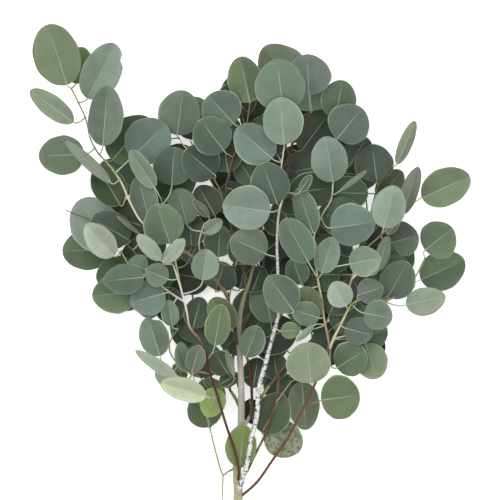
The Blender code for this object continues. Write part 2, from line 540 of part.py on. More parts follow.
def settle(laid, heights, leaves):
    """Move leaves and stems up and down only, until each clears what it crosses in plan."""
    stemCount = len(heights)
    start = np.array(heights + [levelHeight(leaf["level"]) for leaf in leaves])
    for i, leaf in enumerate(leaves):
        if leaf["resting"]:
            start[stemCount + i] = 0.5 * bladeThickness
    weights = np.ones(len(start))
    weights[:stemCount] = 0.3
    for i, leaf in enumerate(leaves):
        if leaf["resting"]:
            weights[stemCount + i] = 0.0
    for k in laid["trunk"]["ids"][:2]:
        start[k] = 0.001 * stems["trunk"][5] * math.cos(math.radians(30.0))
        weights[k] = 0.0
    rules = []
    soft = []

    def rule(kind, parts, distance):
        kind.append((parts, distance))

    # Stem samples: each point and each half way between, with the heights that make it.
    samples = []
    for name, stem in laid.items():
        ids = stem["ids"]
        for k in range(len(ids)):
            samples.append((name, k, stem["plan"][k], {ids[k]: 1.0}, stem["radii"][k]))
            if k + 1 < len(ids):
                for share in (1.0 / 3.0, 2.0 / 3.0):
                    between = (1.0 - share) * stem["plan"][k] + share * stem["plan"][k + 1]
                    samples.append((name, k + share, between, {ids[k]: 1.0 - share, ids[k + 1]: share},
                                    stem["radii"][k]))
        for k in range(1, len(ids)):
            rule(rules, {ids[k]: 1.0}, stem["radii"][k] + 0.0003)
    samplePlan = np.array([s[2] for s in samples])
    sampleRadius = np.array([s[4] for s in samples])

    def heightOf(parts):
        return sum(share * start[k] for k, share in parts.items())

    grids = []
    for i, leaf in enumerate(leaves):
        u, v = sampleGrid(leaf)
        grids.append((planPoint(leaf, u, v), leafHeight(leaf, u, v)))
        leaf["slope"] = steepness(leaf)
        if not leaf["resting"]:
            low = grids[i][1].min()
            rule(rules, {stemCount + i: 1.0}, floorHeight + 0.5 * bladeThickness * leaf["slope"] - low)
    above = {}
    for i, leaf in enumerate(leaves):
        for j in range(i):
            other = leaves[j]
            span = 0.5 * (leaf["length"] + other["length"]) + 0.02
            if np.linalg.norm(leaf["base"] - other["base"]) > span + 0.03:
                continue
            differences = []
            inside, u, v = inPlan(other, grids[i][0], edgeMargin)
            differences += list((grids[i][1] - leafHeight(other, u, v))[inside])
            inside, u, v = inPlan(leaf, grids[j][0], edgeMargin)
            differences += list((leafHeight(leaf, u, v) - grids[j][1])[inside])
            if not differences:
                continue
            margin = (bladeThickness + leafGap) * max(leaf["slope"], other["slope"])
            iUp = start[stemCount + i] >= start[stemCount + j]
            above[(i, j)] = iUp
            if iUp:
                rule(rules, {stemCount + i: 1.0, stemCount + j: -1.0}, margin - min(differences))
            else:
                rule(rules, {stemCount + j: 1.0, stemCount + i: -1.0}, margin + max(differences))
    # Leaves over or under stems; a leaf's own stem counts too, away from where its stalk ends.
    for i, leaf in enumerate(leaves):
        inside, u, v = inPlan(leaf, samplePlan, sampleRadius + edgeMargin)
        hits = {}
        for s in np.nonzero(inside)[0]:
            name, k = samples[s][0], samples[s][1]
            if name == leaf["at"][0] and abs(k - leaf["at"][1]) < 1.6:
                continue
            hits.setdefault(name, []).append((s, float(leafHeight(leaf, u[s], v[s]))))
        for name, found in hits.items():
            mean = np.mean([start[stemCount + i] - heightOf(samples[s][3]) for s, rel in found])
            for s, rel in found:
                need = (samples[s][4] + 0.5 * bladeThickness + leafGap) * leaf["slope"]
                parts = {k: -share for k, share in samples[s][3].items()}
                parts[stemCount + i] = 1.0
                if mean >= 0.0:
                    rule(rules, parts, need - rel)
                else:
                    rule(rules, {k: -share for k, share in parts.items()}, need + rel)
        name, k = leaf["at"]
        root = laid[name]["ids"][k]
        far = stalkPlan(leaf, laid, 1.0)[3]
        baseRel = float(leafHeight(leaf, 0.0, 0.0))
        reach = 0.8 * far + 0.007
        rule(soft, {stemCount + i: 1.0, root: -1.0}, -reach - baseRel)
        rule(soft, {stemCount + i: -1.0, root: 1.0}, -reach + baseRel)
        # The stalk passes over or under what it crosses.
        crossed = {}
        for t in (0.2, 0.4, 0.6, 0.8, 0.97):
            point, leafShare, rootShare, far = stalkPlan(leaf, laid, t)
            if far < 0.003:
                continue
            mine = {stemCount + i: leafShare, root: rootShare}
            lift = leafShare * baseRel
            for j, other in enumerate(leaves):
                if j == i or np.linalg.norm(other["base"] - point) > other["length"] + 0.03:
                    continue
                inside, u, v = inPlan(other, point[None, :], stalkHalfWidth + 0.6 * edgeMargin)
                if inside[0]:
                    rel = float(leafHeight(other, u[0], v[0]))
                    need = (bladeThickness + 0.7 * leafGap) * other["slope"]
                    above = heightOf(mine) - start[stemCount + j]
                    row = (mine, {stemCount + j: 1.0}, need, lift - rel, above)
                    crossed.setdefault(("leaf", j), []).append(row)
            gaps = np.linalg.norm(samplePlan - point, axis=1)
            for s in np.nonzero(gaps < sampleRadius + stalkHalfWidth + 0.003)[0]:
                if laid[samples[s][0]]["node"] != leaf["node"]:
                    need = samples[s][4] + bladeThickness + leafGap
                    above = heightOf(mine) - heightOf(samples[s][3])
                    row = (mine, samples[s][3], need, lift, above)
                    crossed.setdefault(("stem", samples[s][0]), []).append(row)
        for found in crossed.values():
            over = np.mean([row[4] for row in found]) >= 0.0
            for mine, theirs, need, lift, above in found:
                parts = dict(mine)
                for k, share in theirs.items():
                    parts[k] = parts.get(k, 0.0) - share
                if over:
                    rule(rules, parts, need - lift)
                else:
                    rule(rules, {k: -share for k, share in parts.items()}, need + lift)
    # Stems across stems, away from where they join.
    joins = {}
    for name, stem in laid.items():
        if stem["parent"]:
            joins[(name, stem["parent"])] = stem["plan"][0]
    for s in range(len(samples)):
        nameA, kA, planA, partsA, radiusA = samples[s]
        gaps = np.linalg.norm(samplePlan[:s] - planA, axis=1)
        for q in np.nonzero(gaps < sampleRadius[:s] + radiusA + 0.0034)[0]:
            nameB, kB, planB, partsB, radiusB = samples[q]
            if nameA == nameB:
                continue
            join = joins.get((nameA, nameB), joins.get((nameB, nameA)))
            if join is not None and np.linalg.norm(planA - join) < 3.0 * (radiusA + radiusB) + 0.012:
                continue
            shared = set(partsA) & set(partsB)
            if shared:
                continue
            siblings = laid[nameA]["parent"] is not None and laid[nameA]["parent"] == laid[nameB]["parent"]
            rootGap = np.linalg.norm(laid[nameA]["plan"][0] - laid[nameB]["plan"][0])
            if siblings and rootGap < 0.02 and np.linalg.norm(planA - laid[nameA]["plan"][0]) < 0.015:
                continue
            parts = dict(partsA)
            for k, share in partsB.items():
                parts[k] = parts.get(k, 0.0) - share
            need = radiusA + radiusB + 0.0014
            aside = max(0.0, float(np.linalg.norm(planA - planB)) - 0.0016)
            if aside >= need:
                continue
            need = math.sqrt(need ** 2 - aside ** 2)
            whole = stemOrder(laid, nameA, nameB)
            if whole is None:
                whole = heightOf(partsA) >= heightOf(partsB)
            if whole:
                rule(rules, parts, need)
            else:
                rule(rules, {k: -share for k, share in parts.items()}, need)
    chains = []
    for name, stem in laid.items():
        row = list(stem["ids"])
        if stem["before"] is not None:
            row = [stem["before"]] + row
        for k in range(1, len(row) - 1):
            chains.append((row[k - 1], row[k], row[k + 1]))
    chains = np.array(chains)
    z = start.copy()
    leafOnly = weights.copy()
    leafOnly[:stemCount] *= 0.1
    hard = packRules(rules)
    loose = packRules(soft)
    for turn in range(2200):
        if turn < 2050:
            target = 0.5 * (z[chains[:, 0]] + z[chains[:, 2]])
            fresh = z.copy()
            strength = 0.5 if turn < 600 else 0.12
            fresh[chains[:, 1]] += strength * (target - z[chains[:, 1]])
            z = np.where(weights > 0.0, fresh, z)
            z += weights * 0.004 * (start - z)
            relax(z, leafOnly, loose, 0.5)
        relax(z, weights, hard, 1.2)
        relax(z, weights, hard, 1.2)
    missed = hard[2] - (hard[1] * z[hard[0]]).sum(axis=1)
    for name, stem in laid.items():
        stem["z"] = z[np.array(stem["ids"])]
        if stem["butt"]:
            stem["beforePoint"] = np.array([*laid[stem["parent"]]["plan"][-2], z[stem["before"]]])
    for i, leaf in enumerate(leaves):
        leaf["z"] = float(z[stemCount + i])
    crossing = set()
    for r in np.nonzero(missed > 0.0002)[0]:
        owners = []
        for k in rules[r][0]:
            if k >= stemCount:
                owners.append((leaves[k - stemCount]["node"], k - stemCount))
            else:
                owners.append((next(stem["node"] for stem in laid.values() if k in stem["ids"]), None))
        if len({node for node, i in owners}) > 1:
            late = [i for node, i in owners if i is not None and leaves[i].get("added")]
            if late:
                crossing.add(max(late))
    return crossing


def stemOrder(laid, nameA, nameB):
    """A fixed order for pairs of stems that run side by side or cross more than once."""
    back = ("backLeft", "backRight", "backTop")
    if nameA in back and nameB not in back and "Stub" not in nameB:
        return False
    if nameB in back and nameA not in back and "Stub" not in nameA:
        return True
    return None


def packRules(rules):
    width = max(len(parts) for parts, distance in rules)
    ids = np.zeros((len(rules), width), int)
    shares = np.zeros((len(rules), width))
    for row, (parts, distance) in enumerate(rules):
        for column, (k, share) in enumerate(parts.items()):
            ids[row, column] = k
            shares[row, column] = share
    return ids, shares, np.array([distance for parts, distance in rules])


def relax(z, weights, packed, rate):
    ids, shares, distances = packed
    missed = distances - (shares * z[ids]).sum(axis=1)
    active = missed > 0.0
    if not active.any():
        return
    ids, shares, missed = ids[active], shares[active], missed[active]
    pull = weights[ids] * shares
    size = (pull * shares).sum(axis=1)
    size[size < 1e-9] = 1e9
    moves = pull * (missed / size)[:, None]
    total = np.bincount(ids.ravel(), moves.ravel(), len(z))
    count = np.bincount(ids.ravel(), (np.abs(pull) > 1e-9).ravel().astype(float), len(z))
    z += rate * total / np.maximum(count, 1.0)


def collectionNamed(name):
    made = bpy.data.collections.new(name)
    bpy.context.scene.collection.children.link(made)
    return made


def plainMaterial(name, colour, roughness):
    material = bpy.data.materials.new(name)
    material.use_nodes = True
    shader = material.node_tree.nodes["Principled BSDF"]
    shader.inputs["Base Color"].default_value = (*colour, 1.0)
    shader.inputs["Roughness"].default_value = roughness
    shader.inputs["Metallic"].default_value = 0.0
    return material


def thinned(points, tolerance):
    """Places of the points that a tube needs to stay within the tolerance of the row."""
    keep = {0, len(points) - 1}
    spans = [(0, len(points) - 1)]
    while spans:
        a, b = spans.pop()
        if b - a < 2:
            continue
        line = points[b] - points[a]
        size = np.linalg.norm(line)
        offsets = points[a + 1:b] - points[a]
        along = np.clip(offsets @ line / size ** 2, 0.0, 1.0)
        gaps = np.linalg.norm(offsets - along[:, None] * line, axis=1)
        worst = int(np.argmax(gaps))
        if gaps[worst] > tolerance or size > tubeLongestStep:
            middle = a + 1 + (worst if gaps[worst] > tolerance else (b - a) // 2 - 1)
            keep.add(middle)
            spans += [(a, middle), (middle, b)]
    return sorted(keep)


def tubeObject(name, stem, into):
    points = np.column_stack([stem["plan"], stem["z"]])
    radii = np.array(stem["radii"])
    if stem["butt"]:
        # A stem that goes on from another piece starts in line with it, a hair's breadth off.
        heading = points[0] - stem["beforePoint"]
        heading /= np.linalg.norm(heading)
        start = [points[0] + heading * jointGap, points[0] + heading * (jointGap + 1.6 * radii[0])]
        points = np.vstack([start, points[1:]])
        radii = np.concatenate([radii[:1], radii])
    places = thinned(points, tubeTolerance)
    if stem["butt"] and 1 not in places:
        places = [0, 1] + places[1:]
    curve = bpy.data.curves.new(name, "CURVE")
    curve.dimensions = "3D"
    curve.bevel_depth = 1.0
    curve.bevel_resolution = 1 if stem["radii"][0] > 0.0013 else 0
    curve.use_fill_caps = True
    spline = curve.splines.new("POLY")
    spline.points.add(len(places) - 1)
    for target, k in zip(spline.points, places):
        target.co = (*points[k], 1.0)
        target.radius = radii[k]
    holder = bpy.data.objects.new(name + "Curve", curve)
    into.objects.link(holder)
    bpy.context.view_layer.update()
    mesh = bpy.data.meshes.new_from_object(holder.evaluated_get(bpy.context.evaluated_depsgraph_get()))
    bpy.data.objects.remove(holder)
    bm = bmesh.new()
    bm.from_mesh(mesh)
    bmesh.ops.remove_doubles(bm, verts=bm.verts, dist=1e-6)
    bmesh.ops.recalc_face_normals(bm, faces=bm.faces)
    bm.to_mesh(mesh)
    bm.free()
    tube = bpy.data.objects.new(name, mesh)
    into.objects.link(tube)
    return tube


def makeSolid(bm):
    """Give an open sheet its thickness, half to each side."""
    bmesh.ops.recalc_face_normals(bm, faces=bm.faces)
    if sum(face.normal.z * face.calc_area() for face in bm.faces) < 0.0:
        bmesh.ops.reverse_faces(bm, faces=bm.faces)
    bm.normal_update()
    rim = [edge for edge in bm.edges if edge.is_boundary]
    upper = list(bm.verts)
    lower = {}
    for vert in upper:
        lower[vert] = bm.verts.new(vert.co - vert.normal * 0.5 * bladeThickness)
    for vert in upper:
        vert.co += vert.normal * 0.5 * bladeThickness
    for face in list(bm.faces):
        bm.faces.new([lower[vert] for vert in reversed(face.verts)])
    for edge in rim:
        a, b = edge.verts
        bm.faces.new((a, b, lower[b]))
        bm.faces.new((a, lower[b], lower[a]))
    bmesh.ops.recalc_face_normals(bm, faces=bm.faces)


def leafObject(name, leaf, laid, into):
    """One blade as a fan round its centre, with its stalk as a strip, made solid."""
    bm = bmesh.new()

    def bladeVert(u, v):
        plan = planPoint(leaf, u, v)
        height = leaf["z"] + float(leafHeight(leaf, np.float64(u), np.float64(v)))
        return bm.verts.new((plan[0], plan[1], height))

    stemName, k = leaf["at"]
    stem = laid[stemName]
    rootZ = stem["z"][k]
    baseRel = float(leafHeight(leaf, 0.0, 0.0))
    stalkV = min(0.5, stalkHalfWidth / leaf["half"])
    left = []
    right = []
    for u in ((0.16, 0.7) if leaf.get("added") or leaf["half"] < 0.011 else (0.1, 0.42, 0.8)):
        h = float(halfOutline(np.float64(u), leaf["roundness"]))
        left.append(bladeVert(u, h))
        right.append(bladeVert(u, -h))
    tip = bladeVert(1.0, 0.0)
    centre = bladeVert(0.44, 0.0)
    baseLeft = bladeVert(0.0, stalkV)
    baseRight = bladeVert(0.0, -stalkV)
    ring = [baseLeft] + left + [tip] + right[::-1] + [baseRight]
    faces = []
    for a, b in zip(ring, ring[1:] + ring[:1]):
        faces.append(bm.faces.new((centre, b, a)))
    previous = (baseLeft, baseRight)
    sideways = np.array([leaf["across"][0], leaf["across"][1]]) / leaf["half"]
    ts = (0.5, 1.0) if stalkPlan(leaf, laid, 1.0)[3] > 0.016 else (1.0,)
    for t in ts:
        point, leafShare, rootShare, far = stalkPlan(leaf, laid, t)
        height = leafShare * (leaf["z"] + baseRel) + rootShare * rootZ
        before = stalkPlan(leaf, laid, t - 0.2)[0]
        heading = (point - before) / max(1e-9, np.linalg.norm(point - before))
        normal = np.array([-heading[1], heading[0]])
        if normal @ sideways < 0.0:
            normal = -normal
        half = min(stalkHalfWidth, 0.8 * stem["radii"][k]) if t == 1.0 else stalkHalfWidth
        a = bm.verts.new((*(point + normal * half), height))
        b = bm.verts.new((*(point - normal * half), height))
        faces.append(bm.faces.new((previous[0], previous[1], b)))
        faces.append(bm.faces.new((previous[0], b, a)))
        previous = (a, b)
    makeSolid(bm)
    mesh = bpy.data.meshes.new(name)
    bm.to_mesh(mesh)
    bm.free()
    made = bpy.data.objects.new(name, mesh)
    into.objects.link(made)
    return made


def fuse(target, pieces):
    """Unite the pieces into the target, then remove them."""
    if not pieces.objects:
        return
    modifier = target.modifiers.new("Fuse", "BOOLEAN")
    modifier.operation = "UNION"
    modifier.operand_type = "COLLECTION"
    modifier.collection = pieces
    modifier.solver = "MANIFOLD"
    bpy.context.view_layer.update()
    mesh = bpy.data.meshes.new_from_object(target.evaluated_get(bpy.context.evaluated_depsgraph_get()))
    target.modifiers.clear()
    target.data = mesh
    for piece in list(pieces.objects):
        bpy.data.objects.remove(piece)
    bm = bmesh.new()
    bm.from_mesh(mesh)
    bmesh.ops.triangulate(bm, faces=bm.faces)
    bm.to_mesh(mesh)
    bm.free()


for old in list(bpy.data.objects):
    bpy.data.objects.remove(old)

laid, heights = layStems()
leaves = growLeaves(laid)
crossing = settle(laid, heights, leaves)
for attempt in range(4):
    if not crossing:
        break
    # Added leaves that find no room between the others are left out.
    leaves = [leaf for i, leaf in enumerate(leaves) if i not in crossing]
    crossing = settle(laid, heights, leaves)

branch = collectionNamed("eucalyptus_branch")
pieces = collectionNamed("fused_pieces")
nodes = []
for name, stem in laid.items():
    if stem["node"] not in nodes:
        nodes.append(stem["node"])
for node in nodes:
    names = [name for name, stem in laid.items() if stem["node"] == node]
    body = tubeObject(node, laid[names[0]], branch)
    for name in names[1:]:
        tubeObject(name, laid[name], pieces)
    for i, leaf in enumerate(leaves):
        if leaf["node"] == node:
            leafObject("leaf" + str(i), leaf, laid, pieces)
    fuse(body, pieces)
    body.name = node
    body.data.name = node
    body.data.materials.clear()
    if node == "main_stem":
        body.data.materials.append(plainMaterial(node + "_bark", barkColour, barkRoughness))
    else:
        body.data.materials.append(plainMaterial(node + "_leaf", leafColour, leafRoughness))
bpy.data.collections.remove(pieces)
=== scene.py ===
import itertools
import json
import math
import random

import bpy
import numpy as np
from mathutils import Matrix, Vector

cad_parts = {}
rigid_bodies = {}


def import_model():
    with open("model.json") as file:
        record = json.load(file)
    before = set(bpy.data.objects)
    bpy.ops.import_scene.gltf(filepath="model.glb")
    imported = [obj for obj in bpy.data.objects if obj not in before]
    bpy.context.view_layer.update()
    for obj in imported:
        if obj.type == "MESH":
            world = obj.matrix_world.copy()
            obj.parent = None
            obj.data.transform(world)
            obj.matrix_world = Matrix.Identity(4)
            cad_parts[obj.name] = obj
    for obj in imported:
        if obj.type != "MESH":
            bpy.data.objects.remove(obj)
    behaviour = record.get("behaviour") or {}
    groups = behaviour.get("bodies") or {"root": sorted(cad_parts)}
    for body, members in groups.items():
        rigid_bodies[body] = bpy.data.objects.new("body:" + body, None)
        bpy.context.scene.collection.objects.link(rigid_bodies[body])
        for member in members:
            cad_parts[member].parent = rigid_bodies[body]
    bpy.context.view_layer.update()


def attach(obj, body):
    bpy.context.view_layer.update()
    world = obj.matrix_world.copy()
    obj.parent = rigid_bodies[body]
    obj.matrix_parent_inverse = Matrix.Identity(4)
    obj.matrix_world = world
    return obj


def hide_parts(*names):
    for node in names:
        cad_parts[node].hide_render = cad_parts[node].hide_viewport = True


# A cut eucalyptus branch seen from above. The stems and leaves are laid out by the
# same rules as the part's own solids, then made again as fine curved skins.
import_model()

# One pixel of the photo is 1.2 mm, which makes a leaf of 45 pixels 54 mm long.
pixel = 0.0012
centreX = 250.0
centreY = 279.0
# Level 0 is 6 mm above the surface, and each level is this much higher.
levelStep = 0.0165
levelZero = 0.006
stemStep = 0.0096
bladeThickness = 0.0009
stalkHalfWidth = 0.0008
leafGap = 0.0019
edgeMargin = 0.0012
floorHeight = 0.0012
seed = 7
# Things further apart than their own lengths and this are not compared.
nearby = 0.03
# How heights are settled: rounds in all, rounds that also smooth the stems and rounds that do so
# firmly; then how strongly each pull counts, and how far a rule may be missed, in metres.
settling = {
    "turns": 2200, "smoothTurns": 2050, "firmTurns": 600, "firm": 0.5, "gentle": 0.12,
    "stemWeight": 0.3, "stemShare": 0.1, "homePull": 0.004, "stalkRate": 0.5, "rate": 1.2,
    "stemFloor": 0.0003, "missed": 0.0002,
}

# name: node, parent stem, route in pixels, level at start and end, radius at start and end in mm
stems = {
    "trunk": ("main_stem", None, [(236, 533), (238, 497), (237, 467), (241, 425), (241, 380), (239, 340),
        (240, 316), (244, 298)], 0.0, 3.0, 6.0, 2.6),
    "white": ("main_stem", "trunk", [(238, 494), (246, 468), (251, 440), (257, 415), (259, 388), (266, 362),
        (269, 350)], 1.5, 3.1, 3.1, 2.7),
    "leftRed": ("main_stem", "trunk", [(240, 481), (236, 455), (229, 434)], 1.3, 2.5, 1.7, 1.6),
    "rightRed": ("main_stem", "trunk", [(238, 500), (257, 483), (273, 460), (287, 440)], 0.3, 2.0, 1.7,
        1.6),
    "brownStub": ("main_stem", "trunk", [(239, 486), (246, 474), (251, 464)], 0.3, 0.8, 1.8, 1.6),
    "greenStub": ("main_stem", "trunk", [(237, 468), (229, 472)], 0.7, 1.0, 1.3, 1.2),
    "innerStub": ("main_stem", "trunk", [(241, 434), (250, 416)], 1.2, 1.4, 2.0, 1.8),
    "topLeftStub": ("main_stem", "trunk", [(240, 350), (232, 328)], 2.6, 2.9, 2.2, 1.9),
    "backLeftStub": ("main_stem", "trunk", [(241, 408), (231, 392)], 1.3, 1.0, 2.0, 1.8),
    "backRightStub": ("main_stem", "white", [(257, 404), (269, 386)], 1.8, 1.2, 2.0, 1.8),
    "backTopStub": ("main_stem", "trunk", [(241, 392), (234, 374)], 1.6, 1.3, 2.0, 1.8),
    "topLeft": ("top_left_spray", "topLeftStub", [(232, 328), (228, 300), (212, 275), (192, 256),
        (165, 240), (142, 222), (130, 202), (121, 182), (109, 165), (98, 153), (90, 138), (86, 120),
        (76, 98), (71, 88)], 2.9, 2.2, 1.8, 0.8),
    "topLeftSide": ("top_left_spray", "topLeft", [(206, 268), (199, 245), (204, 224)], 3.2, 3.4, 1.1, 0.8),
    "leftMid": ("left_spray", "leftRed", [(229, 434), (222, 412), (217, 395), (209, 370), (207, 355),
        (198, 337), (190, 328), (187, 312), (184, 300), (180, 285), (173, 264)], 2.5, 3.4, 1.6, 1.0),
    "leftFork": ("left_spray", "leftMid", [(184, 302), (168, 291), (150, 278), (130, 266), (121, 251)], 3.3,
        2.6, 1.2, 0.8),
    "leftUp": ("left_spray", "leftMid", [(180, 284), (172, 245), (165, 225), (163, 204)], 3.2, 3.2, 1.1,
        0.8),
    "dryTwig": ("left_spray", "leftFork", [(140, 272), (136, 254), (118, 238), (95, 222), (75, 214),
        (65, 210)], 2.6, 1.9, 0.8, 0.6),
    "lowStub": ("left_spray", "leftMid", [(211, 374), (201, 372)], 2.6, 2.8, 1.3, 1.2),
    "leftLow": ("left_low_spray", "lowStub", [(201, 372), (188, 372), (176, 362), (169, 348), (173, 336),
        (178, 329)], 2.8, 3.2, 1.1, 0.7),
    "leftLowEnd": ("left_low_spray", "leftLow", [(180, 367), (170, 372), (160, 366)], 2.9, 3.2, 0.8, 0.7),
    "greenTwig": ("lower_left_sprig", "greenStub", [(229, 472), (223, 476), (217, 458), (210, 430),
        (205, 412)], 1.0, 1.6, 1.1, 0.8),
    "greenTail": ("lower_left_sprig", "greenTwig", [(223, 475), (222, 503)], 1.0, 0.8, 1.0, 0.7),
    "innerLeft": ("inner_left_spray", "innerStub", [(250, 416), (252, 400), (250, 374), (246, 354),
        (239, 338), (232, 322), (230, 306), (228, 292)], 1.4, 1.9, 1.7, 1.0),
    "innerLeftA": ("inner_left_spray", "innerLeft", [(229, 296), (215, 275)], 1.9, 2.0, 0.9, 0.7),
    "innerLeftB": ("inner_left_spray", "innerLeft", [(229, 296), (236, 266)], 1.9, 2.4, 0.9, 0.7),
    "whiteTop": ("center_spray", "white", [(269, 350), (273, 335), (279, 310), (278, 275), (277, 240),
        (279, 212), (283, 195), (281, 172), (284, 147)], 3.1, 4.4, 2.3, 0.9),
    "topRed": ("center_spray", "whiteTop", [(279, 214), (284, 195), (289, 162), (294, 140), (300, 130),
        (311, 113)], 3.8, 3.2, 1.3, 0.8),
    "innerTop": ("inner_spray", "trunk", [(244, 298), (250, 280), (256, 255), (262, 225), (266, 195),
        (262, 180)], 3.0, 2.8, 2.3, 0.9),
    "topStub": ("inner_spray", "innerTop", [(249, 284), (242, 266)], 3.0, 3.0, 1.6, 1.5),
    "topTwig": ("top_spray", "topStub", [(242, 266), (234, 240), (226, 195), (230, 170), (236, 150),
        (246, 125), (250, 104)], 3.0, 3.0, 1.4, 0.8),
    "topTwigSide": ("top_spray", "topTwig", [(226, 200), (205, 165), (186, 148), (179, 138)], 2.8, 2.6, 1.0,
        0.7),
    "rightMid": ("right_spray", "rightRed", [(287, 440), (292, 431), (303, 410), (311, 394), (318, 378),
        (328, 368), (330, 352), (328, 338), (324, 318), (322, 300), (319, 285), (316, 265), (316, 245),
        (314, 236), (322, 215), (331, 200), (333, 183), (336, 155), (336, 132)], 2.0, 3.6, 1.6, 0.8),
    "rightSide": ("right_spray", "rightMid", [(305, 406), (322, 400)], 2.6, 2.8, 0.9, 0.8),
    "outerStub": ("right_spray", "rightMid", [(330, 346), (337, 332)], 3.0, 3.3, 1.7, 1.5),
    "outer": ("right_outer_spray", "outerStub", [(337, 332), (344, 318), (353, 303), (370, 298), (388, 300),
        (404, 290), (416, 276), (425, 258)], 3.3, 3.2, 1.4, 0.8),
    "outerUp": ("right_outer_spray", "outer", [(350, 307), (349, 290), (353, 275), (360, 255), (372, 243),
        (380, 236), (396, 218), (403, 211), (422, 197)], 3.4, 3.2, 1.2, 0.8),
    "outerTop": ("right_outer_spray", "outerUp", [(359, 257), (362, 238), (370, 215), (375, 195),
        (381, 180), (392, 166)], 3.3, 3.2, 1.0, 0.7),
    "brown": ("lower_right_sprig", "brownStub", [(251, 464), (258, 450), (265, 435), (270, 420), (278, 392),
        (279, 372)], 0.8, 1.8, 1.5, 0.9),
    "brownSide": ("lower_right_sprig", "brown", [(275, 404), (291, 382)], 1.4, 1.6, 0.9, 0.7),
    "backLeft": ("back_left_spray", "backLeftStub", [(231, 392), (219, 355), (196, 320), (168, 295),
        (142, 272), (120, 254)], 1.0, 0.1, 1.6, 0.8),
    "backRight": ("back_right_spray", "backRightStub", [(269, 386), (298, 352), (335, 324), (375, 302),
        (405, 290), (416, 282)], 1.2, 0.1, 1.6, 0.8),
    "backTop": ("back_top_spray", "backTopStub", [(234, 374), (234, 350), (248, 318), (262, 285),
        (266, 230), (285, 170), (298, 125), (303, 100)], 1.3, 0.1, 1.7, 0.8),
    "backTopSide": ("back_top_spray", "backTop", [(263, 276), (240, 228), (208, 176), (190, 140)], 0.9, 0.6,
        1.1, 0.8),
    "backRightSide": ("back_right_spray", "backRight", [(330, 328), (356, 282), (368, 230), (362, 172),
        (345, 130)], 0.7, 0.7, 1.1, 0.8),
    "backLeftSide": ("back_left_spray", "backLeft", [(196, 320), (186, 270), (160, 222), (132, 180)], 0.6,
        0.6, 1.1, 0.8),
}

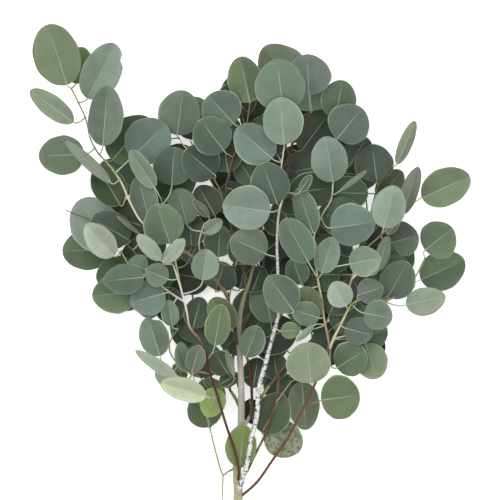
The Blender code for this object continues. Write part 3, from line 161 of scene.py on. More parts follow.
# Leaves measured on the photo: base x, base y, tip x, tip y, width, level, tone.
leafTable = {
    "top_left_spray": [
        (67, 85, 48, 25, 46, 3.4, "lightGreen"), (75, 83, 82, 46, 30, 1.6, "moss"),
        (87, 98, 115, 43, 38, 2.6, "silver"), (103, 146, 108, 86, 36, 3.2, "grey"),
        (73, 122, 30, 90, 22, 2.6, "lightGreen"), (84, 154, 38, 156, 40, 1.8, "moor"),
        (111, 183, 66, 141, 12, 3.4, "silver"), (131, 158, 166, 124, 46, 3.3, "blueGrey"),
        (112, 160, 148, 117, 44, 1.7, "deepGreen"), (120, 205, 97, 166, 34, 1.6, "deepGreen"),
        (187, 224, 177, 188, 32, 3.2, "sage"), (205, 233, 222, 220, 14, 4.6, "silver"),
        (215, 215, 198, 186, 32, 2.4, "deep"), (209, 217, 193, 200, 9, 3.2, "grey"),
        (232, 330, 212, 298, 28, 3.2, "olive"),
    ],
    "left_spray": [
        (112, 248, 78, 200, 50, 1.4, "mist"), (114, 256, 86, 224, 28, 3.9, "bright"),
        (129, 240, 91, 218, 38, 2.5, "darkTeal"), (140, 234, 117, 216, 4, 3.0, "olive"),
        (144, 277, 104, 281, 31, 4.2, "sea"), (136, 292, 92, 296, 40, 3.2, "green"),
        (135, 268, 96, 280, 36, 2.4, "deepGreen"), (165, 293, 130, 303, 36, 3.8, "blueGrey"),
        (160, 310, 136, 306, 20, 3.2, "pale"), (147, 270, 128, 262, 24, 3.3, "blueGrey"),
        (168, 279, 146, 270, 24, 4.0, "sage"), (161, 260, 138, 235, 16, 4.5, "bright"),
        (170, 243, 157, 204, 41, 4.2, "moor"), (155, 188, 131, 151, 19, 4.0, "pale"),
        (172, 185, 174, 147, 40, 3.4, "teal"), (150, 222, 138, 176, 28, 2.0, "grey"),
        (206, 396, 161, 382, 24, 4.6, "butter"), (203, 280, 207, 249, 28, 4.9, "pale"),
        (187, 263, 200, 240, 26, 2.0, "teal"), (215, 345, 222, 304, 26, 5.0, "olive"),
        (164, 262, 185, 239, 15, 4.2, "bright"), (234, 376, 226, 349, 6, 2.6, "pale"),
        (220, 385, 238, 374, 16, 1.9, "deepGreen"), (219, 389, 206, 417, 26, 2.1, "lime"),
        (193, 328, 201, 297, 26, 2.2, "deep"), (191, 247, 190, 212, 30, 2.2, "teal"),
    ],
    "left_low_spray": [
        (177, 377, 136, 350, 12, 4.0, "mint"), (190, 395, 155, 372, 20, 3.1, "pale"),
        (160, 356, 148, 317, 30, 3.9, "sage"), (172, 326, 168, 300, 18, 3.4, "pale"),
        (186, 372, 180, 342, 16, 3.0, "pale"), (192, 371, 200, 345, 20, 3.6, "grey"),
        (202, 380, 219, 408, 31, 1.2, "green"), (185, 380, 174, 364, 14, 2.2, "moss"),
    ],
    "main_stem": [(240, 468, 243, 425, 32, 1.3, "yellowGreen")],
    "lower_left_sprig": [(211, 427, 197, 395, 36, 1.1, "green")],
    "inner_left_spray": [
        (246, 357, 258, 326, 26, 3.2, "sage"), (236, 264, 250, 228, 30, 3.3, "deep"),
        (218, 257, 220, 225, 30, 2.6, "teal"), (215, 290, 225, 262, 36, 2.2, "teal"),
        (228, 374, 214, 352, 26, 2.0, "deepGreen"), (253, 388, 258, 358, 26, 0.9, "deep"),
        (240, 289, 247, 256, 28, 1.3, "deep"), (249, 400, 255, 425, 22, 0.8, "shade"),
    ],
    "top_spray": [
        (177, 135, 183, 90, 43, 3.0, "grey"), (234, 124, 208, 96, 42, 3.9, "dusk"),
        (245, 110, 222, 87, 38, 2.6, "deep"), (224, 151, 200, 120, 40, 4.4, "teal"),
        (215, 175, 185, 150, 40, 3.9, "darkTeal"), (228, 172, 222, 135, 34, 3.0, "deep"),
        (250, 103, 240, 57, 35, 3.4, "green"), (255, 185, 236, 155, 25, 2.4, "teal"),
    ],
    "center_spray": [
        (283, 112, 277, 60, 51, 4.0, "sage"), (284, 145, 280, 98, 41, 5.6, "pale"),
        (272, 159, 237, 128, 40, 4.2, "blueGrey"), (309, 95, 307, 54, 46, 3.4, "grey"),
        (312, 111, 308, 75, 44, 2.8, "sage"), (302, 150, 330, 112, 42, 2.6, "deep"),
        (270, 212, 223, 205, 45, 5.8, "mist"), (277, 203, 262, 163, 40, 4.8, "teal"),
        (285, 230, 265, 215, 26, 3.2, "deep"), (266, 254, 231, 238, 38, 5.0, "grey"),
        (293, 310, 268, 276, 36, 4.6, "dusk"), (281, 331, 300, 330, 17, 3.6, "lightGreen"),
        (300, 192, 311, 175, 10, 3.4, "teal"), (292, 142, 303, 106, 32, 1.8, "deep"),
    ],
    "inner_spray": [
        (252, 292, 262, 266, 24, 2.6, "deep"), (253, 240, 240, 205, 32, 2.4, "deep"),
        (268, 190, 300, 176, 28, 2.4, "deep"),
    ],
    "right_spray": [
        (335, 118, 343, 80, 36, 3.2, "fern"), (337, 139, 362, 108, 44, 3.7, "slate"),
        (333, 182, 325, 137, 37, 5.4, "mist"), (350, 165, 367, 137, 30, 2.2, "deep"),
        (330, 228, 375, 222, 43, 4.7, "blueGrey"), (313, 233, 298, 188, 24, 3.2, "sage"),
        (340, 191, 366, 171, 5, 4.6, "grey"), (349, 264, 380, 258, 31, 5.2, "pale"),
        (322, 273, 333, 237, 25, 4.2, "pale"), (308, 262, 284, 219, 32, 4.2, "sage"),
        (300, 325, 310, 287, 38, 3.0, "olive"), (319, 318, 292, 309, 25, 4.2, "sage"),
        (313, 326, 296, 341, 7, 4.7, "silver"), (311, 383, 306, 342, 45, 5.2, "warmPale"),
        (337, 368, 365, 350, 36, 4.2, "green"), (366, 344, 377, 379, 33, 3.1, "lightSage"),
        (352, 338, 388, 330, 34, 2.6, "teal"), (321, 400, 360, 395, 45, 3.4, "olive"),
        (302, 284, 292, 258, 24, 3.0, "teal"),
    ],
    "right_outer_spray": [
        (364, 313, 392, 318, 31, 4.8, "sage"), (345, 328, 372, 335, 28, 4.4, "slate"),
        (346, 306, 333, 282, 26, 5.0, "bright"), (358, 295, 383, 287, 26, 4.2, "grey"),
        (388, 297, 408, 262, 36, 3.7, "dusk"), (406, 305, 445, 296, 28, 4.1, "silver"),
        (425, 250, 453, 228, 40, 3.0, "grassy"), (392, 243, 418, 235, 36, 3.5, "grey"),
        (377, 271, 388, 236, 15, 4.8, "sage"), (377, 181, 372, 144, 40, 2.4, "darkTeal"),
        (397, 164, 415, 121, 14, 3.5, "olive"), (402, 214, 418, 167, 17, 3.6, "silverGrey"),
        (383, 228, 394, 186, 34, 5.0, "silver"), (388, 234, 400, 217, 9, 4.3, "grey"),
        (422, 198, 470, 176, 38, 3.0, "lightGreen"), (380, 200, 402, 170, 26, 2.0, "deepGreen"),
    ],
    "lower_right_sprig": [
        (302, 382, 306, 431, 32, 0.9, "dull"), (268, 427, 300, 452, 38, 0.9, "mottled"),
        (262, 433, 283, 394, 38, 1.4, "deepGreen"), (276, 402, 279, 368, 28, 0.7, "deepGreen"),
        (278, 380, 273, 352, 26, 0.9, "deep"), (296, 404, 291, 374, 26, 0.6, "deepGreen"),
    ],
    "back_left_spray": [(110, 248, 61, 252, 42, 0.0, "green")],
    "back_right_spray": [(422, 280, 466, 260, 40, 0.0, "grassy")],
    "back_top_spray": [(300, 92, 264, 45, 49, 0.0, "dullGreen")],
}
# These leaves lie flat on the surface, each the first of its spray's list.
restingSprays = ("back_left_spray", "back_right_spray", "back_top_spray")
# The outline of the thick of the bunch, which the added leaves keep inside.
thickOutline = [
    (253, 56), (283, 46), (318, 58), (330, 84), (348, 84), (360, 110), (364, 138), (386, 148),
    (396, 166), (402, 178), (398, 206), (392, 214), (404, 226), (420, 236), (452, 228), (464, 262),
    (448, 286), (420, 286), (398, 298), (390, 318), (384, 364), (366, 376), (350, 368), (344, 382),
    (356, 392), (356, 404), (338, 420), (322, 404), (308, 430), (296, 452), (272, 448), (262, 425),
    (280, 396), (270, 372), (256, 352), (244, 352), (236, 384), (224, 398), (218, 424), (190, 420),
    (184, 404), (164, 392), (146, 366), (150, 326), (166, 312), (134, 312), (104, 308), (98, 292),
    (106, 270), (66, 262), (64, 240), (80, 204), (100, 200), (96, 168), (112, 140), (140, 118),
    (158, 118), (176, 92), (204, 92), (224, 86), (230, 62),
]
# Small gaps of the photo that the added leaves leave open.
openSpots = [
    (124, 244), (181, 141), (371, 188), (190, 299), (174, 344), (168, 358), (252, 385), (248, 372),
    (398, 310), (416, 256), (418, 268), (366, 124), (320, 392), (195, 378), (234, 388), (243, 394),
    (154, 356),
]
# Stems that bear more leaves out of sight, with how far below the stem they start, in levels.
filledStems = {
    "backTop": 0.3, "backLeft": 0.3, "backRight": 0.3, "backTopSide": 0.3, "backRightSide": 0.3,
    "backLeftSide": 0.3, "innerTop": 0.9, "brown": 0.6, "brownSide": 0.4, "topTwig": 0.9, "topTwigSide": 0.8,
    "innerLeft": 0.7, "innerLeftA": 0.5, "leftMid": 1.0, "leftLow": 0.8, "leftUp": 1.0, "leftFork": 0.9,
    "rightMid": 1.0, "outer": 0.9, "outerUp": 0.9, "outerTop": 0.9, "topLeft": 0.9, "whiteTop": 1.2,
    "topRed": 0.9,
}
# Stems whose end carries the start of another piece, so no stalk ends there.
carriers = {row[1] for row in stems.values() if row[1] and stems[row[1]][0] != row[0]}
# How the added leaves are drawn, in pixels and levels, and what it is worth to cover ground
# that no leaf, one, two or more leaves cover so far.
filling = {
    "limit": 72, "draws": 5, "inside": 0.94, "leastGain": 0.5, "worth": (1.0, 0.22, 0.05, -0.12),
    "turn": (0.35, 1.9), "length": (33.0, 45.0), "stalk": (5.0, 13.0), "shape": (0.8, 0.98),
    "drop": (-0.4, 0.2), "lowest": 0.35, "hidden": 0.15, "ground": ((60, 470, 5.0), (44, 456, 5.0)),
}
# A blade's own form, drawn for each leaf: shares of its length and half width, and metres.
bladeForm = {
    "rise": (-0.12, 0.12), "roll": (-0.16, 0.16), "fold": (0.0008, 0.0028), "droop": (-0.0005, 0.003),
    "wave": (0.0003, 0.0012), "phase": (0.0, 1.0), "roundness": (0.15, 0.8),
}
# A leaf narrower than its true shape is rolled to one side, and one wider than it is long rises or falls.
leafHalves = {
    "trueShape": 0.85, "widest": 3.0, "rolled": 0.9, "foreshortened": 1.1, "roundShape": 1.05,
    "steepest": 3.0,
}
# Where a stalk may run to: what a stem point ahead of the leaf's foot or behind other leaves costs.
rooting = {"ahead": 0.35, "search": 0.017, "piercing": 0.012}


def toPlan(px, py):
    return np.array([(px - centreX) * pixel, (centreY - py) * pixel])


def levelHeight(level):
    return levelZero + level * levelStep


def runLengths(points):
    # How far along a row of points each one lies
    steps = np.linalg.norm(np.diff(points, axis=0), axis=1)
    return np.concatenate([[0.0], np.cumsum(steps)])


def curvePoint(four, t):
    # A point of the smooth curve between the second and the third of four points
    a, b, c, d = four
    bow = (2 * a - 5 * b + 4 * c - d) * t * t
    return 0.5 * (2 * b + (c - a) * t + bow + (3 * b - a - 3 * c + d) * t ** 3)


def smoothRoute(points, before=None):
    # Points a fixed step apart on a smooth curve through the measured ones.
    plan = [toPlan(x, y) for x, y in points]
    first = 2 * plan[0] - plan[1] if before is None else before
    padded = [first] + plan + [2 * plan[-1] - plan[-2]]
    fine = []
    for i in range(1, len(padded) - 2):
        for k in range(16):
            fine.append(curvePoint(padded[i - 1:i + 3], k / 16.0))
    fine.append(plan[-1])
    fine = np.array(fine)
    lengths = runLengths(fine)
    count = max(1, int(round(lengths[-1] / stemStep)))
    marks = np.linspace(0.0, lengths[-1], count + 1)
    return np.stack([np.interp(marks, lengths, fine[:, 0]), np.interp(marks, lengths, fine[:, 1])], axis=1)


def layStems():
    # Every stem as a row of points, with one height variable for each point.
    laid = {}
    heights = []
    for name, (node, parent, route, levelA, levelB, radiusA, radiusB) in stems.items():
        butt = parent is not None and laid[parent]["node"] != node
        plan = smoothRoute(route, laid[parent]["plan"][-2] if butt else None)
        count = len(plan)
        ids = []
        if parent is not None:
            near = int(np.argmin(np.linalg.norm(laid[parent]["plan"] - plan[0], axis=1)))
            if butt:
                near = len(laid[parent]["ids"]) - 1
            plan[0] = laid[parent]["plan"][near]
            ids.append(laid[parent]["ids"][near])
        for k in range(len(ids), count):
            share = k / (count - 1.0)
            heights.append(levelHeight(levelA + (levelB - levelA) * share))
            ids.append(len(heights) - 1)
        laid[name] = {"node": node, "plan": plan, "ids": ids, "butt": butt, "parent": parent,
                      "radii": np.linspace(radiusA, radiusB, count) * 0.001,
                      "before": laid[parent]["ids"][-2] if butt else None,
                      "first": np.array([heights[k] for k in ids])}
    return laid, heights


def halfOutline(u, roundness):
    # Half the width of a blade at u from its base (0) to its tip (1), 1 at the widest.
    u = np.clip(u, 0.0, 1.0)
    ovate = np.abs(np.sin(np.pi * u ** 0.82)) ** 0.56
    disc = 2.0 * np.sqrt(u * (1.0 - u))
    return (1.0 - roundness) * ovate + roundness * disc


def bend(leaf, u, v):
    # How far the blade's surface leaves its plane, upwards.
    fold = leaf["fold"] * v * v
    droop = -leaf["droop"] * (2.0 * u - 1.0) ** 2
    wave = leaf["wave"] * np.sin(2.0 * np.pi * (1.3 * u + leaf["phase"])) * v
    return fold + droop + wave


def leafHeight(leaf, u, v):
    # Height of the blade's surface over its centre.
    return leaf["rise"] * (u - 0.5) + leaf["roll"] * v + bend(leaf, u, v)


def makeLeaf(row, node, resting=False):
    bx, by, tx, ty, width, level = row[:6]
    rng = random.Random("%.3f %.3f %d" % (bx, by, seed))
    base = toPlan(bx, by)
    along = toPlan(tx, ty) - base
    length = float(np.linalg.norm(along))
    half = 0.5 * width * pixel
    across = np.array([-along[1], along[0]]) / length * half
    trueHalf = 0.5 * leafHalves["trueShape"] * length
    rise = 0.0
    roll = 0.0
    if half < trueHalf:
        trueHalf = min(trueHalf, half * leafHalves["widest"])
        roll = math.sqrt(max(0.0, trueHalf ** 2 - half ** 2)) * leafHalves["rolled"]
        roll *= rng.choice((-1.0, 1.0))
    if 2.0 * half > leafHalves["foreshortened"] * length:
        rise = math.sqrt((2.0 * half / leafHalves["roundShape"]) ** 2 - length ** 2) * rng.choice((-1.0, 1.0))
    form = {name: rng.uniform(*reach) for name, reach in bladeForm.items()}
    leaf = {"node": node, "base": base, "along": along, "across": across, "level": level, "resting": resting,
            "length": length, "half": half, "key": (round(bx), round(by)), **form}
    leaf["tone"] = row[6] if len(row) > 6 else None
    leaf["rise"] = rise + length * form["rise"]
    leaf["roll"] = roll + half * form["roll"]
    if resting:
        for key in ("rise", "roll", "fold", "droop", "wave"):
            leaf[key] = 0.0
    return leaf


def sampleGrid(leaf):
    us = np.array([0.02, 0.12, 0.28, 0.46, 0.64, 0.8, 0.92, 0.99])
    u, side = np.meshgrid(us, np.array([-1.0, -0.5, 0.0, 0.5, 1.0]), indexing="ij")
    v = side * halfOutline(u, leaf["roundness"])
    return u.ravel(), v.ravel()


def planPoint(leaf, u, v):
    u = np.asarray(u)[..., None]
    v = np.asarray(v)[..., None]
    return leaf["base"] + u * leaf["along"] + v * leaf["across"]


def inPlan(leaf, points, margin):
    # Which plan points lie in the blade's outline grown by the margin, and where in it.
    offset = points - leaf["base"]
    u = offset @ leaf["along"] / leaf["length"] ** 2
    v = offset @ leaf["across"] / leaf["half"] ** 2
    growU = margin / leaf["length"]
    growV = margin / leaf["half"]
    squeezed = np.clip((u + growU) / (1.0 + 2.0 * growU), 0.0, 1.0)
    inside = (u > -growU) & (u < 1.0 + growU)
    inside &= np.abs(v) < halfOutline(squeezed, leaf["roundness"]) + growV
    return inside, np.clip(u, -0.05, 1.05), np.clip(v, -1.1, 1.1)


def steepness(leaf):
    slope = (leaf["rise"] / leaf["length"]) ** 2 + (leaf["roll"] / leaf["half"]) ** 2
    return min(leafHalves["steepest"], math.sqrt(1.0 + slope))


def pierced(leaf, laid, name, k, others):
    # How many leaves between a leaf and its stem its stalk would have to pass through.
    low, high = sorted((levelHeight(leaf["level"]), laid[name]["first"][k]))
    trial = dict(leaf, at=(name, k))
    points = np.array([stalkPlan(trial, laid, t)[0] for t in (0.15, 0.35, 0.6, 0.85, 1.0)])
    count = 0
    for other in others:
        if other is leaf or not low - 0.002 < levelHeight(other["level"]) < high + 0.002:
            continue
        if np.linalg.norm(other["base"] - points[0]) > other["length"] + nearby:
            continue
        if inPlan(other, points, stalkHalfWidth + edgeMargin)[0].any():
            count += 1
    return count


def hides(leaf, others):
    # Whether an added leaf would lie over a lower one that the photo shows.
    u, v = sampleGrid(leaf)
    points = planPoint(leaf, u, v)
    for other in others:
        if other["level"] < leaf["level"] and inPlan(other, points, 0.0)[0].mean() > filling["hidden"]:
            return True
    return False


def blocks(leaf, laid, others):
    # Whether a leaf would lie between another leaf and its stem, across that stalk.
    height = levelHeight(leaf["level"])
    for other in others:
        name, k = other["at"]
        low, high = sorted((levelHeight(other["level"]), laid[name]["first"][k]))
        if not low - 0.002 < height < high + 0.002:
            continue
        if np.linalg.norm(other["base"] - leaf["base"]) > leaf["length"] + nearby:
            continue
        points = np.array([stalkPlan(other, laid, t)[0] for t in (0.15, 0.35, 0.6, 0.85)])
        if inPlan(leaf, points, stalkHalfWidth + edgeMargin)[0].any():
            return True
    return False


def stemOf(leaf, laid, others):
    # The stem point a leaf's stalk runs to: near its base, and clear of other leaves if it can be.
    back = -leaf["along"] / leaf["length"]
    found = []
    for name, stem in laid.items():
        if stem["node"] == leaf["node"]:
            last = len(stem["plan"]) - (1 if name in carriers else 0)
            ways = stem["plan"][1:last] - leaf["base"]
            gaps = np.linalg.norm(ways, axis=1)
            # A point ahead of the leaf's foot counts as further off than one behind it.
            gaps = gaps * (1.0 + rooting["ahead"] * (1.0 - ways @ back / np.maximum(gaps, 1e-6)))
            found += [(float(gap), name, k + 1) for k, gap in enumerate(gaps)]
    found.sort()
    nearest = found[0][0]
    tried = []
    for gap, name, k in found:
        if gap > nearest + rooting["search"]:
            break
        cost = rooting["piercing"] * pierced(leaf, laid, name, k, others)
        tried.append((gap + cost, gap, name, k))
    return min(tried)[2:]


def insideOutline(points, outline):
    # Which plan points lie inside a closed outline.
    inside = np.zeros(len(points), bool)
    x, y = points[:, 0], points[:, 1]
    for (ax, ay), (bx, by) in zip(outline, outline[1:] + outline[:1]):
        crossing = (ay > y) != (by > y)
        run = np.where(by == ay, 1.0, by - ay)
        inside ^= crossing & (x < ax + (y - ay) * (bx - ax) / run)
    return inside


def fillLeaf(laid, name, k, side, rng):
    # One leaf of the rule, at a point of a stem and to one side of it.
    plan = laid[name]["plan"]
    tangent = plan[min(k + 1, len(plan) - 1)] - plan[k - 1]
    turn = math.atan2(tangent[1], tangent[0]) + side * rng.uniform(*filling["turn"])
    length = rng.uniform(*filling["length"])
    stalk = rng.uniform(*filling["stalk"])
    width = length * rng.uniform(*filling["shape"])
    levels = np.interp(k, [0, len(plan) - 1], [stems[name][3], stems[name][4]])
    level = max(filling["lowest"], levels - filledStems[name] + rng.uniform(*filling["drop"]))
    px = plan[k][0] / pixel + centreX + stalk * math.cos(turn)
    py = centreY - plan[k][1] / pixel - stalk * math.sin(turn)
    row = (px, py, px + length * math.cos(turn), py - length * math.sin(turn), width, level)
    leaf = makeLeaf(row, laid[name]["node"])
    leaf["at"] = (name, k)
    leaf["added"] = True
    return leaf


def growLeaves(laid):
    # The measured leaves, then added ones that close the ground between them from below.
    # Of many seeded draws, each step takes the leaf that covers most of the open ground.
    leaves = []
    for node, rows in leafTable.items():
        for place, row in enumerate(rows):
            leaves.append(makeLeaf(row, node, node in restingSprays and place == 0))
    for leaf in leaves:
        leaf["at"] = stemOf(leaf, laid, leaves)
    outline = [tuple(toPlan(x, y)) for x, y in thickOutline]
    columns, rows = np.meshgrid(*(np.arange(*reach) for reach in filling["ground"]))
    ground = np.column_stack(toPlan(columns.ravel(), rows.ravel()))
    ground = ground[insideOutline(ground, outline)]
    depth = np.zeros(len(ground))
    for leaf in leaves:
        depth += inPlan(leaf, ground, 0.0)[0]
    spots = np.array([toPlan(x, y) for x, y in openSpots])
    draws = []
    covers = []
    for name in filledStems:
        joints = range(1, len(laid[name]["plan"]))
        for k, draw, side in itertools.product(joints, range(filling["draws"]), (-1.0, 1.0)):
            leaf = fillLeaf(laid, name, k, side, random.Random("%s %d %d %d" % (name, k, draw, side)))
            points = planPoint(leaf, *sampleGrid(leaf))
            outside = insideOutline(points, outline).mean() < filling["inside"]
            if outside or inPlan(leaf, spots, 0.0)[0].any() or pierced(leaf, laid, name, k, leaves):
                continue
            if not blocks(leaf, laid, leaves) and not hides(leaf, leaves):
                draws.append(leaf)
                covers.append(inPlan(leaf, ground, 0.0)[0])
    covers = np.array(covers)
    added = []
    free = np.ones(len(draws), bool)
    *worths, spent = filling["worth"]
    while len(added) < filling["limit"] and free.any():
        worth = np.select([depth < 1, depth < 2, depth < 3], worths, spent)
        gains = np.where(free, covers @ worth, -1e9)
        best = int(np.argmax(gains))
        if gains[best] < filling["leastGain"]:
            break
        free[best] = False
        if pierced(draws[best], laid, *draws[best]["at"], added) or blocks(draws[best], laid, added):
            continue
        added.append(draws[best])
        depth += covers[best]
        for i in np.nonzero(free)[0]:
            free[i] = draws[i]["at"] != draws[best]["at"]
    leaves += added
    for leaf in leaves:
        if not leaf["resting"]:
            # A leaf well above or below its stem leans that way, so that its stalk stays short.
            name, k = leaf["at"]
            lift = levelHeight(leaf["level"]) - laid[name]["first"][k]
            limit = 0.36 * leaf["length"]
            leaf["rise"] += min(limit, max(-limit, 0.7 * lift))
    return leaves


def stalkPlan(leaf, laid, t):
    # A point of the stalk from the blade's base (0) to the stem (1), with its height shares.
    name, k = leaf["at"]
    root = laid[name]["plan"][k]
    far = float(np.linalg.norm(root - leaf["base"]))
    back = -leaf["along"] / leaf["length"]
    handle = leaf["base"] + back * 0.45 * far
    a, b, c = (1.0 - t) ** 2, 2.0 * t * (1.0 - t), t * t
    return a * leaf["base"] + b * handle + c * root, a + b, c, far


def settle(laid, heights, leaves):
    # Move leaves and stems up and down only, until each clears what it crosses in plan.
    stemCount = len(heights)
    start = np.array(heights + [levelHeight(leaf["level"]) for leaf in leaves])
    weights = np.ones(len(start))
    weights[:stemCount] = settling["stemWeight"]
    for i, leaf in enumerate(leaves):
        if leaf["resting"]:
            start[stemCount + i] = 0.5 * bladeThickness
            weights[stemCount + i] = 0.0
    for k in laid["trunk"]["ids"][:2]:
        start[k] = 0.001 * stems["trunk"][5] * math.cos(math.radians(30.0))
        weights[k] = 0.0
    rules = []
    soft = []

    def apart(parts, over, need, rel):
        # The parts counted up stay over, or else under, the parts counted down.
        if over:
            rules.append((parts, need - rel))
        else:
            rules.append(({k: -share for k, share in parts.items()}, need + rel))

    def less(parts, others):
        found = dict(parts)
        for k, share in others.items():
            found[k] = found.get(k, 0.0) - share
        return found

    def heightOf(parts):
        return sum(share * start[k] for k, share in parts.items())

    # Stem samples: each point and two between it and the next, with the heights that make it.
    samples = []
    for name, stem in laid.items():
        ids, plan, radii = stem["ids"], stem["plan"], stem["radii"]
        for k in range(len(ids)):
            samples.append((name, k, plan[k], {ids[k]: 1.0}, radii[k]))
            if k + 1 < len(ids):
                for share in (1.0 / 3.0, 2.0 / 3.0):
                    between = (1.0 - share) * plan[k] + share * plan[k + 1]
                    parts = {ids[k]: 1.0 - share, ids[k + 1]: share}
                    samples.append((name, k + share, between, parts, radii[k]))
            if k:
                rules.append(({ids[k]: 1.0}, radii[k] + settling["stemFloor"]))
    samplePlan = np.array([sample[2] for sample in samples])
    sampleRadius = np.array([sample[4] for sample in samples])
    grids = []
    for i, leaf in enumerate(leaves):
        u, v = sampleGrid(leaf)
        grids.append((planPoint(leaf, u, v), leafHeight(leaf, u, v)))
        leaf["slope"] = steepness(leaf)
        if not leaf["resting"]:
            low = grids[i][1].min()
            rules.append(({stemCount + i: 1.0}, floorHeight + 0.5 * bladeThickness * leaf["slope"] - low))
    for i, leaf in enumerate(leaves):
        for j, other in enumerate(leaves[:i]):
            span = 0.5 * (leaf["length"] + other["length"]) + 0.02
            if np.linalg.norm(leaf["base"] - other["base"]) > span + nearby:
                continue
            inside, u, v = inPlan(other, grids[i][0], edgeMargin)
            differences = list((grids[i][1] - leafHeight(other, u, v))[inside])
            inside, u, v = inPlan(leaf, grids[j][0], edgeMargin)
            differences += list((leafHeight(leaf, u, v) - grids[j][1])[inside])
            if differences:
                margin = (bladeThickness + leafGap) * max(leaf["slope"], other["slope"])
                over = start[stemCount + i] >= start[stemCount + j]
                apart({stemCount + i: 1.0, stemCount + j: -1.0}, over, margin,
                      min(differences) if over else max(differences))
    for i, leaf in enumerate(leaves):
        # Leaves over or under stems; a leaf's own stem counts too, away from where its stalk ends.
        stemName, joint = leaf["at"]
        inside, u, v = inPlan(leaf, samplePlan, sampleRadius + edgeMargin)
        hits = {}
        for s in np.nonzero(inside)[0]:
            name, k = samples[s][:2]
            if name != stemName or abs(k - joint) >= 1.6:
                hits.setdefault(name, []).append((s, float(leafHeight(leaf, u[s], v[s]))))
        for found in hits.values():
            mean = np.mean([start[stemCount + i] - heightOf(samples[s][3]) for s, rel in found])
            for s, rel in found:
                need = (samples[s][4] + 0.5 * bladeThickness + leafGap) * leaf["slope"]
                parts = less({}, samples[s][3])
                parts[stemCount + i] = 1.0
                apart(parts, mean >= 0.0, need, rel)
        root = laid[stemName]["ids"][joint]
        baseRel = float(leafHeight(leaf, 0.0, 0.0))
        reach = 0.8 * stalkPlan(leaf, laid, 1.0)[3] + 0.007
        soft.append(({stemCount + i: 1.0, root: -1.0}, -reach - baseRel))
        soft.append(({stemCount + i: -1.0, root: 1.0}, -reach + baseRel))
        # The stalk passes over or under what it crosses.
        crossed = {}
        for t in (0.2, 0.4, 0.6, 0.8, 0.97):
            point, leafShare, rootShare, far = stalkPlan(leaf, laid, t)
            if far < 0.003:
                continue
            mine = {stemCount + i: leafShare, root: rootShare}
            lift = leafShare * baseRel
            for j, other in enumerate(leaves):
                if j == i or np.linalg.norm(other["base"] - point) > other["length"] + nearby:
                    continue
                inside, u, v = inPlan(other, point[None, :], stalkHalfWidth + 0.6 * edgeMargin)
                if inside[0]:
                    need = (bladeThickness + 0.7 * leafGap) * other["slope"]
                    above = heightOf(mine) - start[stemCount + j]
                    rel = lift - float(leafHeight(other, u[0], v[0]))
                    crossed.setdefault(j, []).append((less(mine, {stemCount + j: 1.0}), need, rel, above))
            gaps = np.linalg.norm(samplePlan - point, axis=1)
            for s in np.nonzero(gaps < sampleRadius + stalkHalfWidth + 0.003)[0]:
                name, k, plan, parts, radius = samples[s]
                if laid[name]["node"] != leaf["node"]:
                    above = heightOf(mine) - heightOf(parts)
                    need = radius + bladeThickness + leafGap
                    crossed.setdefault(name, []).append((less(mine, parts), need, lift, above))
        for found in crossed.values():
            over = np.mean([row[3] for row in found]) >= 0.0
            for parts, need, rel, above in found:
                apart(parts, over, need, rel)
    # Stems across stems, away from where they join.
    joins = {(name, stem["parent"]): stem["plan"][0] for name, stem in laid.items() if stem["parent"]}
    for s, (nameA, kA, planA, partsA, radiusA) in enumerate(samples):
        gaps = np.linalg.norm(samplePlan[:s] - planA, axis=1)
        for q in np.nonzero(gaps < sampleRadius[:s] + radiusA + 0.0034)[0]:
            nameB, kB, planB, partsB, radiusB = samples[q]
            join = joins.get((nameA, nameB), joins.get((nameB, nameA)))
            joined = join is not None and np.linalg.norm(planA - join) < 3.0 * (radiusA + radiusB) + 0.012
            if nameA == nameB or joined or set(partsA) & set(partsB):
                continue
            stemA, stemB = laid[nameA], laid[nameB]
            siblings = stemA["parent"] is not None and stemA["parent"] == stemB["parent"]
            rootGap = np.linalg.norm(stemA["plan"][0] - stemB["plan"][0])
            if siblings and rootGap < 0.02 and np.linalg.norm(planA - stemA["plan"][0]) < 0.015:
                continue
            need = radiusA + radiusB + 0.0014
            aside = max(0.0, float(np.linalg.norm(planA - planB)) - 0.0016)
            if aside >= need:
                continue
            over = stemOrder(nameA, nameB)
            if over is None:
                over = heightOf(partsA) >= heightOf(partsB)
            apart(less(partsA, partsB), over, math.sqrt(need ** 2 - aside ** 2), 0.0)
    chains = []
    for stem in laid.values():
        row = ([] if stem["before"] is None else [stem["before"]]) + list(stem["ids"])
        chains += list(zip(row, row[1:], row[2:]))
    before, middle, after = np.array(chains).T
    z = start.copy()
    leafOnly = weights.copy()
    leafOnly[:stemCount] *= settling["stemShare"]
    hard = packRules(rules)
    loose = packRules(soft)
    for turn in range(settling["turns"]):
        if turn < settling["smoothTurns"]:
            fresh = z.copy()
            strength = settling["firm" if turn < settling["firmTurns"] else "gentle"]
            fresh[middle] += strength * (0.5 * (z[before] + z[after]) - z[middle])
            z = np.where(weights > 0.0, fresh, z)
            z += weights * settling["homePull"] * (start - z)
            relax(z, leafOnly, loose, settling["stalkRate"])
        relax(z, weights, hard, settling["rate"])
        relax(z, weights, hard, settling["rate"])
    missed = hard[2] - (hard[1] * z[hard[0]]).sum(axis=1)
    for stem in laid.values():
        stem["z"] = z[np.array(stem["ids"])]
        if stem["butt"]:
            stem["beforePoint"] = np.array([*laid[stem["parent"]]["plan"][-2], z[stem["before"]]])
    for i, leaf in enumerate(leaves):
        leaf["z"] = float(z[stemCount + i])
    # Added leaves that still cross something of another piece are given back, to be left out.
    crossing = set()
    for r in np.nonzero(missed > settling["missed"])[0]:
        owners = set()
        late = []
        for k in rules[r][0]:
            if k >= stemCount:
                owners.add(leaves[k - stemCount]["node"])
                late += [k - stemCount] if leaves[k - stemCount].get("added") else []
            else:
                owners.add(next(stem["node"] for stem in laid.values() if k in stem["ids"]))
        if len(owners) > 1 and late:
            crossing.add(max(late))
    return crossing


